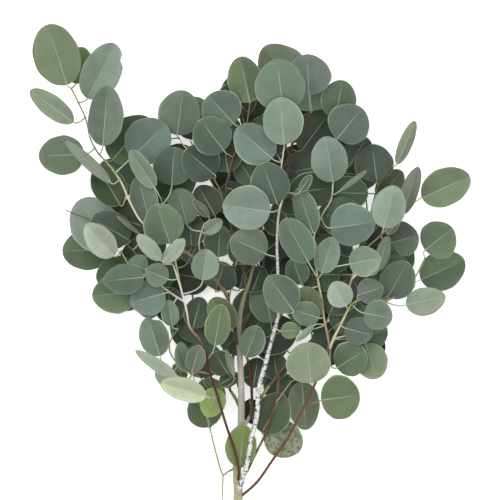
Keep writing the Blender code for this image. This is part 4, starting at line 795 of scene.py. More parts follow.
def stemOrder(nameA, nameB):
    # A fixed order for pairs of stems that run side by side or cross more than once.
    back = ("backLeft", "backRight", "backTop")
    if nameA in back and nameB not in back and "Stub" not in nameB:
        return False
    if nameB in back and nameA not in back and "Stub" not in nameA:
        return True
    return None


def packRules(rules):
    width = max(len(parts) for parts, distance in rules)
    ids = np.zeros((len(rules), width), int)
    shares = np.zeros((len(rules), width))
    for row, (parts, distance) in enumerate(rules):
        for column, (k, share) in enumerate(parts.items()):
            ids[row, column] = k
            shares[row, column] = share
    return ids, shares, np.array([distance for parts, distance in rules])


def relax(z, weights, packed, rate):
    ids, shares, distances = packed
    missed = distances - (shares * z[ids]).sum(axis=1)
    active = missed > 0.0
    if not active.any():
        return
    ids, shares, missed = ids[active], shares[active], missed[active]
    pull = weights[ids] * shares
    size = (pull * shares).sum(axis=1)
    size[size < 1e-9] = 1e9
    moves = pull * (missed / size)[:, None]
    total = np.bincount(ids.ravel(), moves.ravel(), len(z))
    count = np.bincount(ids.ravel(), (np.abs(pull) > 1e-9).ravel().astype(float), len(z))
    z += rate * total / np.maximum(count, 1.0)


# Looks. Colours are sRGB values from 0 to 255, judged on the photo.
leafTones = {
    "silver": (153, 171, 150), "pale": (136, 156, 135), "sage": (114, 134, 114), "grey": (110, 126, 112),
    "blueGrey": (109, 131, 119), "teal": (86, 107, 90), "deep": (58, 76, 58), "deepGreen": (70, 92, 58),
    "green": (98, 120, 86), "lightGreen": (124, 144, 108), "moss": (100, 120, 60),
    "yellowGreen": (138, 160, 92), "olive": (112, 128, 86), "butter": (206, 216, 176),
    "dusk": (101, 119, 104), "mottled": (130, 146, 112), "shade": (42, 57, 40), "mist": (138, 157, 145),
    "fern": (88, 106, 80), "slate": (95, 111, 100), "darkTeal": (70, 87, 73), "bright": (172, 186, 168),
    "grassy": (106, 132, 98), "warmPale": (146, 161, 131), "lightSage": (130, 149, 121),
    "mint": (194, 208, 182), "lime": (152, 176, 102), "silverGrey": (142, 150, 138),
    "dull": (104, 118, 86), "sea": (98, 119, 101), "moor": (106, 126, 100), "dullGreen": (110, 126, 98),
}
# Added leaves lie deep in the bunch and take dark tones: partly their own colour, partly painted shade.
hiddenShadedTones = ("teal", "deep", "deepGreen", "deep", "teal", "shade")
brownRims = {"top_left_spray": 0.55, "back_top_spray": 0.4, "right_outer_spray": 0.35, "left_spray": 0.15}
barkTones = {
    "paleOlive": (172, 170, 136), "white": (228, 227, 226), "red": (84, 40, 34), "redBrown": (106, 64, 50),
    "brown": (98, 70, 52), "pink": (170, 140, 124), "cream": (216, 212, 176), "yellow": (186, 188, 118),
    "green": (140, 150, 92), "dark": (84, 74, 56), "greyGreen": (128, 132, 106), "olive": (136, 128, 88),
    "stalk": (204, 212, 186), "cutWood": (206, 190, 150), "grey": (176, 172, 162),
}
# stem: its tones from start to end, spread evenly or each with its share of the length
stemLooks = {
    "trunk": ((0.0, "dark"), (0.012, "olive"), (0.03, "paleOlive"), (0.05, "brown"),
        (0.075, "paleOlive"), (0.22, "paleOlive"), (0.45, "grey"), (0.8, "grey"), (1.0, "greyGreen")),
    "white": ("white",), "leftRed": ("red",),
    "rightRed": ((0.0, "brown"), (0.3, "redBrown"), (1.0, "redBrown")), "brownStub": ("brown",),
    "greenStub": ("olive", "greyGreen"), "innerStub": ("white", "pink"), "topLeftStub": ("dark",),
    "topLeft": ((0.0, "dark"), (0.35, "pink"), (0.5, "cream"), (0.62, "cream"),
        (0.75, "greyGreen"), (1.0, "olive")), "topLeftSide": ("pink", "cream"),
    "leftMid": ((0.0, "red"), (0.4, "red"), (0.52, "redBrown"), (0.62, "pink"),
        (0.75, "white"), (1.0, "cream")), "leftFork": ((0.0, "white"), (0.5, "cream"), (1.0, "yellow")),
    "leftUp": ("cream",), "dryTwig": ("olive", "dark"), "lowStub": ("redBrown", "pink"),
    "leftLow": ("pink", "greyGreen"), "leftLowEnd": ("pink", "cream"), "greenTwig": ("green",),
    "greenTail": ("green",), "innerLeft": ((0.0, "brown"), (0.2, "red"), (0.6, "red"), (1.0, "redBrown")),
    "innerLeftA": ("pink", "cream"), "innerLeftB": ("pink", "olive"),
    "whiteTop": ((0.0, "white"), (0.6, "white"), (0.75, "cream"), (1.0, "cream")),
    "topRed": ((0.0, "redBrown"), (0.6, "red"), (0.9, "red"), (1.0, "redBrown")),
    "innerTop": ((0.0, "greyGreen"), (0.4, "olive"), (1.0, "dark")), "topStub": ("dark",),
    "topTwig": ((0.0, "dark"), (0.5, "brown"), (1.0, "olive")), "topTwigSide": ("brown", "cream"),
    "rightMid": ((0.0, "redBrown"), (0.2, "redBrown"), (0.35, "pink"), (0.5, "cream"), (1.0, "cream")),
    "rightSide": ("redBrown", "pink"), "outerStub": ("cream",),
    "outer": ((0.0, "cream"), (0.3, "yellow"), (1.0, "greyGreen")),
    "outerUp": ((0.0, "pink"), (0.4, "cream"), (0.7, "yellow"), (1.0, "cream")),
    "outerTop": ("olive", "brown"), "brown": ("brown", "redBrown"), "brownSide": ("pink",),
}
plainLook = ("brown", "green")
flecked = {"white": 1.0, "whiteTop": 0.8, "trunk": 0.35, "innerStub": 0.5, "leftMid": 0.25, "leftRed": 0.15}
# The half shade below is painted shade: how much lighter one half of each blade is drawn than the other.
leafFinish = {
    "thickness": 0.00042, "rows": 20, "stalkRadius": 0.00078, "stalkSides": 8, "stalkRows": 8,
    "crease": 0.0005, "ribHeight": 0.0006, "rimWave": 0.00035, "lopsided": 0.05, "ragged": 0.012,
    "veinGap": 4.4, "sideVeinsStrength": 0.13, "netStrength": 0.06, "ringStrength": 0.34,
    "midribStrength": 0.62, "rimStrength": 0.6, "undersideStrength": 0.4, "spotStrength": 0.55,
    "oldStrength": 0.75, "oldColours": ((100, 114, 84), (172, 176, 146)),
    "palerTint": (1.5, 1.45, 1.4), "wornTint": (0.78, 0.9, 0.66), "bumps": (0.55, 0.00035),
    "rimColour": (196, 204, 176), "midribColour": (200, 208, 190), "dryColour": (120, 92, 78),
    "spotColour": (112, 84, 58), "undersideColour": (172, 186, 164), "bloom": 0.75, "halfShade": 0.5,
}
twigFinish = {
    "sides": 14, "thinSides": 10, "stepLength": 0.0024, "nodeSwelling": 0.22, "nodeLength": 0.0018,
    "knobbly": 0.05, "bumps": (0.7, 0.0004),
    "patchTint": (0.62, 0.64, 0.62), "fleckTint": (0.07, 0.06, 0.055), "ringTint": (0.62, 0.5, 0.42),
}
# The bench's glow is painted light: it brightens the bench so that the shadows on it wash out.
benchFinish = {"size": 7.0, "colour": (250, 250, 250), "roughness": 0.7, "specular": 0.1, "glow": 0.5}
studioLight = {
    "middle": (0.0, 0.035, 0.05), "skyStrength": 0.92,
    "keyPower": 27.0, "keySize": 1.6, "keyPlace": (-0.9, 0.9, 2.3),
    "fillPower": 7.0, "fillPlace": (1.3, -0.6, 2.0), "skinShare": 0.66, "barkShare": 0.86,
}
photoCamera = {"height": 9.0, "lens": 536.7, "middlePixel": (250.0, 250.0)}

# Across a blade: places from one rim to the other, as shares of its half width.
acrossShares = np.array([-1.0, -0.965, -0.88, -0.72, -0.5, -0.28, -0.11, -0.035, 0.0,
                         0.035, 0.11, 0.28, 0.5, 0.72, 0.88, 0.965, 1.0])
# Leaves with a bite out of the rim, by their base: place along, side, depth, half length.
bites = {(87, 98): (0.8, -1.0, 0.2, 0.055), (160, 356): (0.93, -1.0, 0.55, 0.07)}


def linear(colour):
    # sRGB 0 to 255 to the renderer's linear values
    share = np.asarray(colour, float) / 255.0
    return np.where(share <= 0.04045, share / 12.92, ((share + 0.055) / 1.055) ** 2.4)


def skin(colour):
    # The light is strong enough to make the bench white, so a skin is darker than it looks.
    return linear(colour) * studioLight["skinShare"]


def barkSkin(colour):
    return linear(colour) * studioLight["barkShare"]


def newPart():
    part = {name: [] for name in ("faces", "flat", "verts", "place", "tone", "mark", "share")}
    return dict(part, count=0)


def addSkin(part, verts, smoothFaces, flatFaces, place, tone, mark, share):
    # Adds one closed skin: vertices, faces and what the materials read at each vertex.
    for name, rows in zip(("verts", "place", "tone", "mark", "share"), (verts, place, tone, mark, share)):
        part[name].append(rows)
    part["faces"] += [[k + part["count"] for k in face] for face in smoothFaces + flatFaces]
    part["flat"] += [False] * len(smoothFaces) + [True] * len(flatFaces)
    part["count"] += len(verts)


def gridFaces(rows, columns, first):
    corners = [first + i * columns + j for i in range(rows - 1) for j in range(columns - 1)]
    return [[a, a + 1, a + columns + 1, a + columns] for a in corners]


def addBlade(part, leaf):
    # One blade: an upper and a lower skin of the leaf's own surface, closed by a thin rim.
    look = leafFinish
    rows = look["rows"]
    steps = 0.5 - 0.5 * np.cos(np.linspace(0.0, np.pi, rows))
    us = 0.003 + 0.994 * (0.55 * steps + 0.45 * np.linspace(0.0, 1.0, rows))
    u, share = np.meshgrid(us, acrossShares, indexing="ij")
    half = halfOutline(u, leaf["roundness"])
    lopsided = 1.0 + look["lopsided"] * leaf["lean"] * np.sign(share) * np.sin(np.pi * u)
    ragged = 2.0 * np.pi * (3.0 * u + leaf["phase"]) + 2.0 * np.sign(share)
    ragged = 1.0 + look["ragged"] * np.sin(ragged)
    v = share * half * lopsided * ragged
    bite = bites.get(leaf["key"])
    if bite:
        place, side, depth, width = bite
        cut = depth * np.exp(-((u - place) / width) ** 4) * (share * side > 0.0)
        v = v * (1.0 - cut)
    plan = planPoint(leaf, u, v)
    height = leaf["z"] + leafHeight(leaf, u, v)
    rimTurns = 9.0 * u + 6.0 * leaf["phase"] + 1.5 * np.sign(share)
    height = height + look["rimWave"] * np.sin(rimTurns) * share ** 4
    height = height - look["crease"] * np.exp(-(np.abs(share) / 0.16) ** 1.2) * (1.0 - 0.8 * u)
    if leaf["resting"]:
        height = np.full_like(height, leaf["z"])
    surface = np.concatenate([plan, height[..., None]], axis=2)
    normal = np.cross(np.gradient(surface, axis=0), np.gradient(surface, axis=1))
    normal = normal / np.maximum(np.linalg.norm(normal, axis=2, keepdims=True), 1e-12)
    if normal[..., 2].mean() < 0.0:
        normal = -normal
    thin = 0.5 * look["thickness"]
    upper = surface + normal * thin
    rib = look["ribHeight"] * np.exp(-(np.abs(v) * leaf["half"] / 0.0009) ** 2) * (1.0 - 0.85 * u)
    if leaf["resting"]:
        rib = np.zeros_like(rib)
    lower = surface - normal * (thin + rib)[..., None]
    along = u * leaf["length"] * 1000.0
    across = v * leaf["half"] * 1000.0
    rim = np.minimum(half * leaf["half"] * 1000.0 - np.abs(across), (1.0 - u) * leaf["length"] * 700.0)
    rim = np.minimum(rim, u * leaf["length"] * 1400.0 + 0.4 * np.abs(across))
    place = np.stack([along, across, np.maximum(rim, 0.0)], axis=2).reshape(-1, 3)
    columns = len(acrossShares)
    count = rows * columns
    faces = gridFaces(rows, columns, 0) + [face[::-1] for face in gridFaces(rows, columns, count)]
    loop = list(range(columns)) + [i * columns + columns - 1 for i in range(1, rows)]
    loop += [(rows - 1) * columns + j for j in range(columns - 2, -1, -1)]
    loop += [i * columns for i in range(rows - 2, 0, -1)]
    rimFaces = [[b, a, a + count, b + count] for a, b in zip(loop, loop[1:] + loop[:1])]
    verts = np.concatenate([upper.reshape(-1, 3), lower.reshape(-1, 3)])
    if normalOf(verts, faces[0])[2] * np.sign(normal[..., 2].mean()) < 0.0:
        faces = [face[::-1] for face in faces]
        rimFaces = [face[::-1] for face in rimFaces]
    tone = np.tile(leaf["colour"], (2 * count, 1))
    under = np.concatenate([np.zeros(count), np.ones(count)])
    mark = np.column_stack([under, np.full(2 * count, leaf["seedShare"]), np.full(2 * count, leaf["dry"])])
    addSkin(part, verts, faces, rimFaces, np.tile(place, (2, 1)), tone, mark, np.tile(u.ravel(), 2))


def normalOf(verts, face):
    a, b, c = verts[face[0]], verts[face[1]], verts[face[2]]
    return np.cross(b - a, c - b)


def addTube(part, points, radii, sides, tones, flecks, rings):
    # A closed tube along points, with a radius, a colour and marks at each point.
    points = np.asarray(points, float)
    headings = np.gradient(points, axis=0)
    headings /= np.maximum(np.linalg.norm(headings, axis=1, keepdims=True), 1e-12)
    side = np.cross(headings[0], [0.0, 0.0, 1.0])
    if np.linalg.norm(side) < 1e-6:
        side = np.array([1.0, 0.0, 0.0])
    lengths = runLengths(points) * 1000.0
    turns = np.linspace(0.0, 2.0 * np.pi, sides, endpoint=False)
    circle = np.column_stack([np.cos(turns), np.sin(turns)])
    verts, place, tone, mark = [], [], [], []
    for k, heading in enumerate(headings):
        side = side - heading * (side @ heading)
        side /= np.linalg.norm(side)
        ring = radii[k] * circle
        verts.append(points[k] + ring @ np.stack([side, np.cross(heading, side)]))
        place.append(np.column_stack([np.full(sides, lengths[k]), 1000.0 * ring]))
        tone.append(np.tile(tones[k], (sides, 1)))
        mark.append(np.tile([flecks[k], rings[k], 0.0], (sides, 1)))
    # one point closes each end, and the one at the start is marked as cut wood
    verts = np.concatenate([*verts, [points[0], points[-1] + headings[-1] * 0.4 * radii[-1]]])
    verts[:, 2] = np.maximum(verts[:, 2], 0.0)
    place = np.concatenate([*place, [[lengths[0], 0.0, 0.0], [lengths[-1], 0.0, 0.0]]])
    tone = np.concatenate([*tone, [tones[0], tones[-1]]])
    mark = np.concatenate([*mark, [[flecks[0], 0.0, 1.0], [flecks[-1], 0.0, 0.0]]])
    start = (len(points) - 1) * sides
    first, last = start + sides, start + sides + 1
    pairs = [(j, (j + 1) % sides) for j in range(sides)]
    faces = [[a + j, a + n, a + sides + n, a + sides + j] for a in range(0, start, sides) for j, n in pairs]
    caps = [face for j, n in pairs for face in ([n, j, first], [start + j, start + n, last])]
    if normalOf(verts, faces[0]) @ (verts[faces[0][0]] - points[0]) < 0.0:
        faces = [face[::-1] for face in faces]
        caps = [face[::-1] for face in caps]
    share = place[:, 0] / max(lengths[-1], 1e-6)
    addSkin(part, verts, faces, caps, place, tone, mark, share)


def toneAlong(look, shares):
    # The bark's colour at shares of a stem's length
    if isinstance(look[0], str):
        look = list(zip(np.linspace(0.0, 1.0, len(look)), look))
    marks = [place for place, name in look]
    colours = np.array([barkSkin(barkTones[name]) for place, name in look])
    return np.column_stack([np.interp(shares, marks, colours[:, k]) for k in range(3)])


def addStem(part, name, stem, leaves):
    # A stem as a fine tube through its settled points, swollen where leaves join it.
    points = np.column_stack([stem["plan"], stem["z"]])
    radii = np.array(stem["radii"])
    if stem["butt"]:
        heading = points[0] - stem["beforePoint"]
        heading /= np.linalg.norm(heading)
        points = np.vstack([points[0] - heading * 0.0012, points[0] + heading * 1.6 * radii[0], points[1:]])
        radii = np.concatenate([radii[:1], radii[:1], radii[1:]])
    lengths = runLengths(points)
    count = max(4, int(lengths[-1] / twigFinish["stepLength"]))
    marks = np.linspace(0.0, lengths[-1], count)
    fine = smoothThrough(points, lengths, marks)
    fineRadii = np.interp(marks, lengths, radii)
    shares = marks / lengths[-1]
    rings = np.zeros(count)
    for leaf in leaves:
        stemName, k = leaf["at"]
        if stemName == name:
            joint = np.append(stem["plan"][k], stem["z"][k])
            gaps = np.linalg.norm(fine - joint, axis=1)
            rings = np.maximum(rings, np.exp(-(gaps / twigFinish["nodeLength"]) ** 2))
    rng = random.Random(name)
    wobble = np.array([rng.uniform(-1.0, 1.0) for k in range(count)])
    wobble = np.convolve(wobble, (0.25, 0.5, 0.25), mode="same")
    fineRadii = fineRadii * (1.0 + twigFinish["nodeSwelling"] * rings + twigFinish["knobbly"] * wobble)
    look = stemLooks.get(name, plainLook)
    flecks = np.full(count, flecked.get(name, 0.05)) * (1.0 - 0.9 * shares if name != "white" else 1.0)
    sides = twigFinish["sides"] if radii[0] > 0.0013 else twigFinish["thinSides"]
    addTube(part, fine, fineRadii, sides, toneAlong(look, shares), flecks, rings)


def smoothThrough(points, lengths, marks):
    # Smooth places at given lengths along a row of points
    padded = np.vstack([2 * points[0] - points[1], points, 2 * points[-1] - points[-2]])
    found = []
    for mark in marks:
        k = min(int(np.searchsorted(lengths, mark, side="right")) - 1, len(points) - 2)
        t = (mark - lengths[k]) / (lengths[k + 1] - lengths[k])
        found.append(curvePoint(padded[k:k + 4], t))
    return np.array(found)


def addStalk(part, leaf, laid):
    # The leaf stalk, from under the blade's foot to the middle of its stem.
    stemName, k = leaf["at"]
    stem = laid[stemName]
    foot = leaf["z"] + float(leafHeight(leaf, 0.0, 0.0))
    points = []
    inner = planPoint(leaf, 0.1, 0.0)
    innerHeight = leaf["z"] + float(leafHeight(leaf, 0.1, 0.0)) - leafFinish["crease"] * 0.8
    lowered = 0.0 if leaf["resting"] else 0.0004
    points.append([inner[0], inner[1], innerHeight - lowered])
    for t in np.linspace(0.0, 1.0, leafFinish["stalkRows"]):
        point, leafShare, rootShare, far = stalkPlan(leaf, laid, t)
        points.append([point[0], point[1], leafShare * foot + rootShare * stem["z"][k]])
    points = np.array(points)
    count = len(points)
    radii = np.full(count, leafFinish["stalkRadius"])
    radii[0] = 0.00022
    radii[-1] = radii[-2] = leafFinish["stalkRadius"] * 1.15
    if leaf["resting"]:
        radii = np.minimum(radii, 0.0004)
    look = stemLooks.get(stemName, plainLook)
    root = toneAlong(look, np.array([k / max(1.0, len(stem["plan"]) - 1.0)]))[0]
    fresh = barkSkin(barkTones["stalk" if leaf["level"] > 2.8 else "green"])
    shares = np.linspace(0.0, 1.0, count)[:, None]
    tones = (1.0 - shares) * (0.55 * fresh + 0.45 * leaf["colour"]) + shares * (0.5 * root + 0.5 * fresh)
    addTube(part, points, radii, leafFinish["stalkSides"], tones, np.zeros(count), np.zeros(count))


def plug(spot, value):
    if isinstance(value, Wire):
        value.tree.links.new(value.socket, spot)
    else:
        spot.default_value = value


def addNode(tree, kind, values, output=0, **settings):
    # Adds a shader node, sets it, plugs in wires or plain values and gives one of its outputs.
    made = tree.nodes.new("ShaderNode" + kind)
    for name, value in settings.items():
        setattr(made, name, value)
    for key, value in values:
        plug(made.inputs[key], value)
    return Wire(tree, made.outputs[output])


class Wire:
    # One value in a shader tree, which can be reckoned with like a number.
    def __init__(self, tree, socket):
        self.tree = tree
        self.socket = socket

    def math(self, operation, *others):
        return addNode(self.tree, "Math", enumerate((self, *others)), operation=operation)

    def __add__(self, other):
        return self.math("ADD", other)

    def __sub__(self, other):
        return self.math("SUBTRACT", other)

    def __mul__(self, other):
        return self.math("MULTIPLY", other)

    def __truediv__(self, other):
        return self.math("DIVIDE", other)

    def __abs__(self):
        return self.math("ABSOLUTE")

    def ramp(self, low, high, start=0.0, end=1.0):
        # A soft step from start to end while the value goes from low to high
        return addNode(self.tree, "MapRange", enumerate((self, low, high, start, end)),
                       interpolation_type="SMOOTHSTEP", clamp=True)

    def noise(self, scale, detail=2.0, rough=0.5):
        values = {"Vector": self, "Scale": scale, "Detail": detail, "Roughness": rough}
        return addNode(self.tree, "TexNoise", values.items(), "Fac")

    def cells(self, scale, feature="F1"):
        values = {"Vector": self, "Scale": scale}
        return addNode(self.tree, "TexVoronoi", values.items(), "Distance", feature=feature)

    def also(self, name):
        return Wire(self.tree, self.socket.node.outputs[name])

    def split(self):
        parts = addNode(self.tree, "SeparateXYZ", enumerate((self,)))
        return [parts.also(name) for name in "XYZ"]


def vector(x, y, z):
    return addNode(x.tree, "CombineXYZ", enumerate((x, y, z)))


def mixed(share, a, b, blend="MIX"):
    # Colour a mixed with colour b by a share
    tree = next(item.tree for item in (share, a, b) if isinstance(item, Wire))
    a, b = (item if isinstance(item, Wire) else (*item, 1.0) for item in (a, b))
    return addNode(tree, "Mix", zip((0, 6, 7), (share, a, b)), 2, data_type="RGBA", blend_type=blend)


def times(a, b):
    return mixed(1.0, a, b, "MULTIPLY")


def openGroup(name, **inputs):
    # A shader node group and a wire from each of its inputs, by name and kind
    tree = bpy.data.node_groups.new(name, "ShaderNodeTree")
    for socketName, kind in inputs.items():
        tree.interface.new_socket(name=socketName, in_out="INPUT", socket_type="NodeSocket" + kind)
    given = tree.nodes.new("NodeGroupInput")
    return tree, [Wire(tree, given.outputs[socketName]) for socketName in inputs]


def closeGroup(tree, **results):
    end = tree.nodes.new("NodeGroupOutput")
    for name, value in results.items():
        kind = "NodeSocketColor" if name == "colour" else "NodeSocketFloat"
        tree.interface.new_socket(name=name, in_out="OUTPUT", socket_type=kind)
        plug(end.inputs[name], value)
    return tree


def placed(group, **values):
    # A group put into a material's tree; gives its results by name
    tree = values["place"].tree
    made = tree.nodes.new("ShaderNodeGroup")
    made.node_tree = group
    for name, value in values.items():
        plug(made.inputs[name], value)
    return {output.name: Wire(tree, output) for output in made.outputs}


def veinGroup():
    # Midrib, side veins, the ring inside the rim and the rim itself, from millimetres on the blade.
    tree, (place, share, gap, seedShare) = openGroup(
        "leafVeins", place="Vector", share="Float", gap="Float", seedShare="Float")
    along, across, rim = place.split()
    # the midrib bends a little, grows thin and is lost before the tip
    spread = seedShare * 61.0
    bent = vector(along * 0.06 + spread, 0.0, 0.0).noise(1.0, 1.0) * 1.6 - 0.8
    midrib = (abs(across - bent * share) / (share * -0.55 + 0.82)).ramp(0.45, 1.1, 1.0, 0.0)
    midrib = midrib * share.ramp(0.62, 0.93, 1.0, 0.12)
    wander = vector(spread * 3.0 + along, across, 0.0).noise(0.14) * 4.4 - 2.2
    run = (abs(across) * -0.8 + along + wander + across.math("SIGN") * gap * 0.25) / gap
    offVein = abs(run.math("FRACT") - 0.5) * gap
    sideVeins = offVein.ramp(0.1, 0.62, 1.0, 0.0) * rim.ramp(1.4, 3.4)
    ring = abs(rim + wander * 0.2 - 3.4).ramp(0.15, 0.75, 1.0, 0.0) * share.ramp(0.25, 0.6)
    net = place.cells(0.8, "DISTANCE_TO_EDGE").ramp(0.02, 0.12, 1.0, 0.0)
    return closeGroup(tree, midrib=midrib, sideVeins=sideVeins, ring=ring, rim=rim.ramp(0.35, 1.25, 1.0, 0.0),
                      net=net)


def bloomAndHalfShadeGroup():
    # The waxy bloom: broad clouds, fine grain and places where it is rubbed off, and painted shade that draws
    # one half of the blade lighter than the other.
    tree, (tone, place, seedShare, strength, halfShade) = openGroup(
        "waxBloom", tone="Color", place="Vector", seedShare="Float", strength="Float", halfShade="Float")
    along, across, rim = place.split()
    spread = seedShare * 900.0
    spot = vector(along + spread, across, spread)
    grain = spot.noise(1.4, 3.0, 0.7)
    rubbed = spot.noise(0.13, 4.0, 0.6).ramp(0.56, 0.72)
    # painted shade: one half of the blade a little lighter than the other, as light falling from one side
    # would make it; and a soft pale band inside the rim
    paintedHalfLight = (seedShare - 0.5) * across.ramp(-2.2, 2.2, -1.0, 1.0)
    clouds = spot.noise(0.05, 3.0, 0.55) * 0.7 - 0.35
    mottle = spot.noise(0.3, 4.0, 0.7) * 0.44 - 0.22
    lift = clouds + paintedHalfLight * halfShade + mottle + (grain * 0.2 - 0.1) + rim.ramp(0.5, 7.0, 0.09, -0.03)
    waxy = times(tone, lift * strength + 1.0)
    worn = times(waxy, leafFinish["wornTint"])
    return closeGroup(tree, colour=mixed(rubbed * 0.4, waxy, worn), grain=grain, rubbed=rubbed)


def openMaterial(name):
    # A material with wires from what the skins carry: place, tone and three marks
    material = bpy.data.materials.new(name)
    material.use_nodes = True
    tree = material.node_tree
    place, tone, marks = (addNode(tree, "Attribute", (), output, attribute_name=attribute)
                          for attribute, output in (("bladePlace", "Vector"), ("skinTone", "Color"),
                                                    ("skinMark", "Vector")))
    return material, place, tone, marks.split()


def closeMaterial(material, colour, rough, relief, bumps, **settings):
    tree = material.node_tree
    values = zip(("Strength", "Distance", "Height"), (*bumps, relief))
    bump = addNode(tree, "Bump", values, "Normal")
    values = {"Base Color": colour, "Roughness": rough, "Normal": bump}
    values.update({name.replace("_", " "): value for name, value in settings.items()})
    for name, value in values.items():
        plug(tree.nodes["Principled BSDF"].inputs[name], value)
    return material


def leafMaterial(veins, bloom):
    look = leafFinish
    material, place, tone, (under, seedShare, dry) = openMaterial("eucalyptusLeaf")
    share = addNode(place.tree, "Attribute", (), "Fac", attribute_name="alongShare")
    figure = placed(veins, place=place, share=share, gap=look["veinGap"], seedShare=seedShare)
    # the bloom group also paints shade, one half of each blade drawn lighter than the other
    wax = placed(bloom, tone=tone, place=place, seedShare=seedShare, strength=look["bloom"],
                 halfShade=look["halfShade"])
    colour = mixed(under * look["undersideStrength"], wax["colour"], skin(look["undersideColour"]))
    paler = times(colour, look["palerTint"])
    for name in ("sideVeins", "net", "ring"):
        colour = mixed(figure[name] * look[name + "Strength"], colour, paler)
    colour = mixed(figure["midrib"] * look["midribStrength"], colour, skin(look["midribColour"]))
    rimTone = mixed(dry, skin(look["rimColour"]), skin(look["dryColour"]))
    colour = mixed(figure["rim"] * look["rimStrength"], colour, rimTone)
    # small brown specks, few on most leaves
    x, y, z = place.split()
    moved = vector(seedShare * 700.0 + x, y, 0.0)
    specks = moved.cells(0.16)
    chosen = specks.also("Color").split()[0].ramp(0.86, 0.9)
    speckShare = chosen * specks.ramp(0.05, 0.11, 1.0, 0.0) * look["spotStrength"]
    colour = mixed(speckShare, colour, skin(look["spotColour"]))
    # an old leaf has pale patches
    patches = moved.noise(0.19, 4.0, 0.7).ramp(0.42, 0.56)
    blotch = mixed(patches, *(skin(patch) for patch in look["oldColours"]))
    colour = mixed(dry.ramp(1.4, 1.6) * look["oldStrength"], colour, blotch)
    rough = wax["grain"] * 0.16 + 0.5 - wax["rubbed"] * 0.1
    relief = figure["midrib"] * -0.6 + figure["sideVeins"] * -0.28
    relief = relief + figure["net"] * -0.12 + wax["grain"] * 0.12
    return closeMaterial(material, colour, rough, relief, look["bumps"], Specular_IOR_Level=0.42,
                         Sheen_Weight=0.12, Sheen_Roughness=0.5)


def barkGroup():
    # Bark along a stem: streaks, grey patches, dark flecks across it and rings at the leaf joints.
    tree, (tone, place, flecks, rings) = openGroup(
        "twigBark", tone="Color", place="Vector", flecks="Float", rings="Float")
    along, y, z = place.split()
    streaks = vector(along * 0.06, y, z).noise(0.9, 4.0, 0.6)
    patches = vector(along * 0.11, y * 0.3, z * 0.3).noise(1.0, 3.0, 0.55).ramp(0.52, 0.66)
    short = vector(along * 0.5, y * 0.26, z * 0.26).noise(0.95, 3.0, 0.6)
    flank = y * y / (z * z + y * y + 0.001)
    lenticels = (flank * 0.09 + short).ramp(0.58, 0.62) * flecks
    colour = times(tone, streaks * 0.8 + 0.62)
    for share, under, tint in ((patches * flecks, None, "patchTint"), (lenticels, tone, "fleckTint"),
                               (rings * 0.5, None, "ringTint")):
        colour = mixed(share, colour, times(under or colour, twigFinish[tint]))
    return closeGroup(tree, colour=colour, relief=streaks * 0.5 - lenticels * 0.5, grain=streaks)


def barkMaterial(name, bark, roughness):
    material, place, tone, (flecks, rings, cut) = openMaterial(name)
    figure = placed(bark, tone=tone, place=place, flecks=flecks, rings=rings)
    # a cut end shows pale wood with growth rings
    growth = (cut * 34.0).math("SINE") * 0.14 + 0.86
    wood = times(barkSkin(barkTones["cutWood"]), growth)
    colour = mixed(cut.ramp(0.06, 0.12), figure["colour"], wood)
    return closeMaterial(material, colour, figure["grain"] * 0.2 + roughness, figure["relief"],
                         twigFinish["bumps"], Specular_IOR_Level=0.35)


def addObject(name, data):
    made = bpy.data.objects.new(name, data)
    bpy.context.scene.collection.objects.link(made)
    return made


def makePiece(name, part, material, nodeName):
    mesh = bpy.data.meshes.new(name)
    mesh.from_pydata(np.concatenate(part["verts"]).tolist(), [], part["faces"])
    mesh.update()
    tones = np.concatenate(part["tone"])
    for attribute, kind, field, rows in (
            ("bladePlace", "FLOAT_VECTOR", "vector", np.concatenate(part["place"])),
            ("skinMark", "FLOAT_VECTOR", "vector", np.concatenate(part["mark"])),
            ("alongShare", "FLOAT", "value", np.concatenate(part["share"])),
            ("skinTone", "FLOAT_COLOR", "color", np.column_stack([tones, np.ones(len(tones))]))):
        made = mesh.attributes.new(attribute, kind, "POINT")
        made.data.foreach_set(field, rows.astype(np.float32).ravel())
    mesh.polygons.foreach_set("use_smooth", [not flat for flat in part["flat"]])
    mesh.materials.append(material)
    piece = addObject(name, mesh)
    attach(piece, "root")
    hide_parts(nodeName)
    return piece


laid, heights = layStems()
leaves = growLeaves(laid)
crossing = settle(laid, heights, leaves)
for attempt in range(4):
    if not crossing:
        break
    leaves = [leaf for i, leaf in enumerate(leaves) if i not in crossing]
    crossing = settle(laid, heights, leaves)
print("leaves laid out:", len(leaves))

for i, leaf in enumerate(leaves):
    rng = random.Random("look %d %d" % leaf["key"])
    # an added leaf takes one of the dark tones, partly painted shade
    tone = leaf.get("tone") or rng.choice(hiddenShadedTones)
    colour = skin(leafTones[tone])
    reach = 0.03 if leaf.get("tone") else 0.08
    shift = rng.uniform(-reach, reach)
    warm = rng.uniform(-0.04, 0.04)
    leaf["colour"] = colour * np.array([1.0 + shift + warm, 1.0 + shift, 1.0 + shift - warm])
    leaf["seedShare"] = rng.random()
    leaf["lean"] = rng.uniform(-1.0, 1.0)
    drawn = rng.uniform(-0.6, 0.5) + brownRims.get(leaf["node"], 0.0)
    leaf["dry"] = 2.0 if tone == "mottled" else max(0.0, drawn)

veins, bloom, bark = veinGroup(), bloomAndHalfShadeGroup(), barkGroup()
leafSkin = leafMaterial(veins, bloom)
twigBark = barkMaterial("twigBark", bark, 0.42)
woodBark = barkMaterial("woodBark", bark, 0.55)

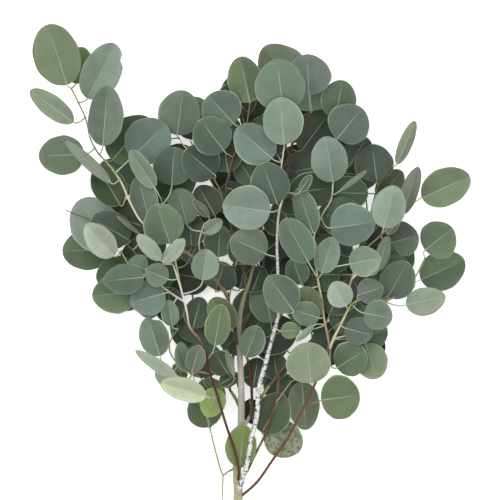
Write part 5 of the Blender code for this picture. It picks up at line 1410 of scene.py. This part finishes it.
for nodeName in dict.fromkeys(stem["node"] for stem in laid.values()):
    wood = newPart()
    blades = newPart()
    mine = [leaf for leaf in leaves if leaf["node"] == nodeName]
    for name, stem in laid.items():
        if stem["node"] == nodeName:
            addStem(wood, name, stem, mine)
    for leaf in mine:
        addBlade(blades, leaf)
        addStalk(wood, leaf, laid)
    if nodeName == "main_stem":
        makePiece(nodeName + "_wood", wood, woodBark, nodeName)
    else:
        makePiece(nodeName + "_twigs", wood, twigBark, nodeName)
    if mine:
        makePiece(nodeName + "_leaves", blades, leafSkin, nodeName)
    print("made", nodeName, "with", len(mine), "leaves,", len(wood["faces"]) + len(blades["faces"]), "faces")

# The bench that the branch lies on, wide and pale, with a painted glow from within that washes out the
# shadows the branch casts on it.
look = benchFinish
bench = bpy.data.meshes.new("bench")
reach = 0.5 * look["size"]
bench.from_pydata([(-reach, -reach, 0.0), (reach, -reach, 0.0), (reach, reach, 0.0), (-reach, reach, 0.0)],
                  [], [(0, 1, 2, 3)])
benchObject = addObject("bench", bench)
benchMaterial = bpy.data.materials.new("benchPaper")
benchMaterial.use_nodes = True
# emission paints a glow into the bench that hides the shadows cast on it
for name, value in {"Base Color": (*linear(look["colour"]), 1.0), "Roughness": look["roughness"],
                    "Specular IOR Level": look["specular"], "Emission Color": (1.0, 1.0, 1.0, 1.0),
                    "Emission Strength": look["glow"]}.items():
    plug(benchMaterial.node_tree.nodes["Principled BSDF"].inputs[name], value)
bench.materials.append(benchMaterial)

# Light: an even white room, a broad soft key from the upper left and a weak fill.
world = bpy.data.worlds.new("studio")
bpy.context.scene.world = world
world.use_nodes = True
world.node_tree.nodes["Background"].inputs["Color"].default_value = (1.0, 1.0, 1.0, 1.0)
world.node_tree.nodes["Background"].inputs["Strength"].default_value = studioLight["skyStrength"]
middle = Vector(studioLight["middle"])
for name, place, power in (("key", studioLight["keyPlace"], studioLight["keyPower"]),
                           ("fill", studioLight["fillPlace"], studioLight["fillPower"])):
    lamp = bpy.data.lights.new(name, "AREA")
    lamp.energy = power
    lamp.size = studioLight["keySize"]
    holder = addObject(name, lamp)
    holder.location = place
    holder.rotation_mode = "QUATERNION"
    holder.rotation_quaternion = (middle - Vector(place)).to_track_quat("-Z", "Y")

# The camera looks straight down, as in the photo, from far off with a long lens.
look = photoCamera
lens = bpy.data.cameras.new("photoCamera")
lens.lens = look["lens"]
lens.sensor_width = 36.0
lens.clip_end = 20.0
camera = addObject("photoCamera", lens)
x, y = toPlan(*look["middlePixel"])
camera.location = (x, y, look["height"])
bpy.context.scene.camera = camera
bpy.context.scene.view_settings.view_transform = "Standard"
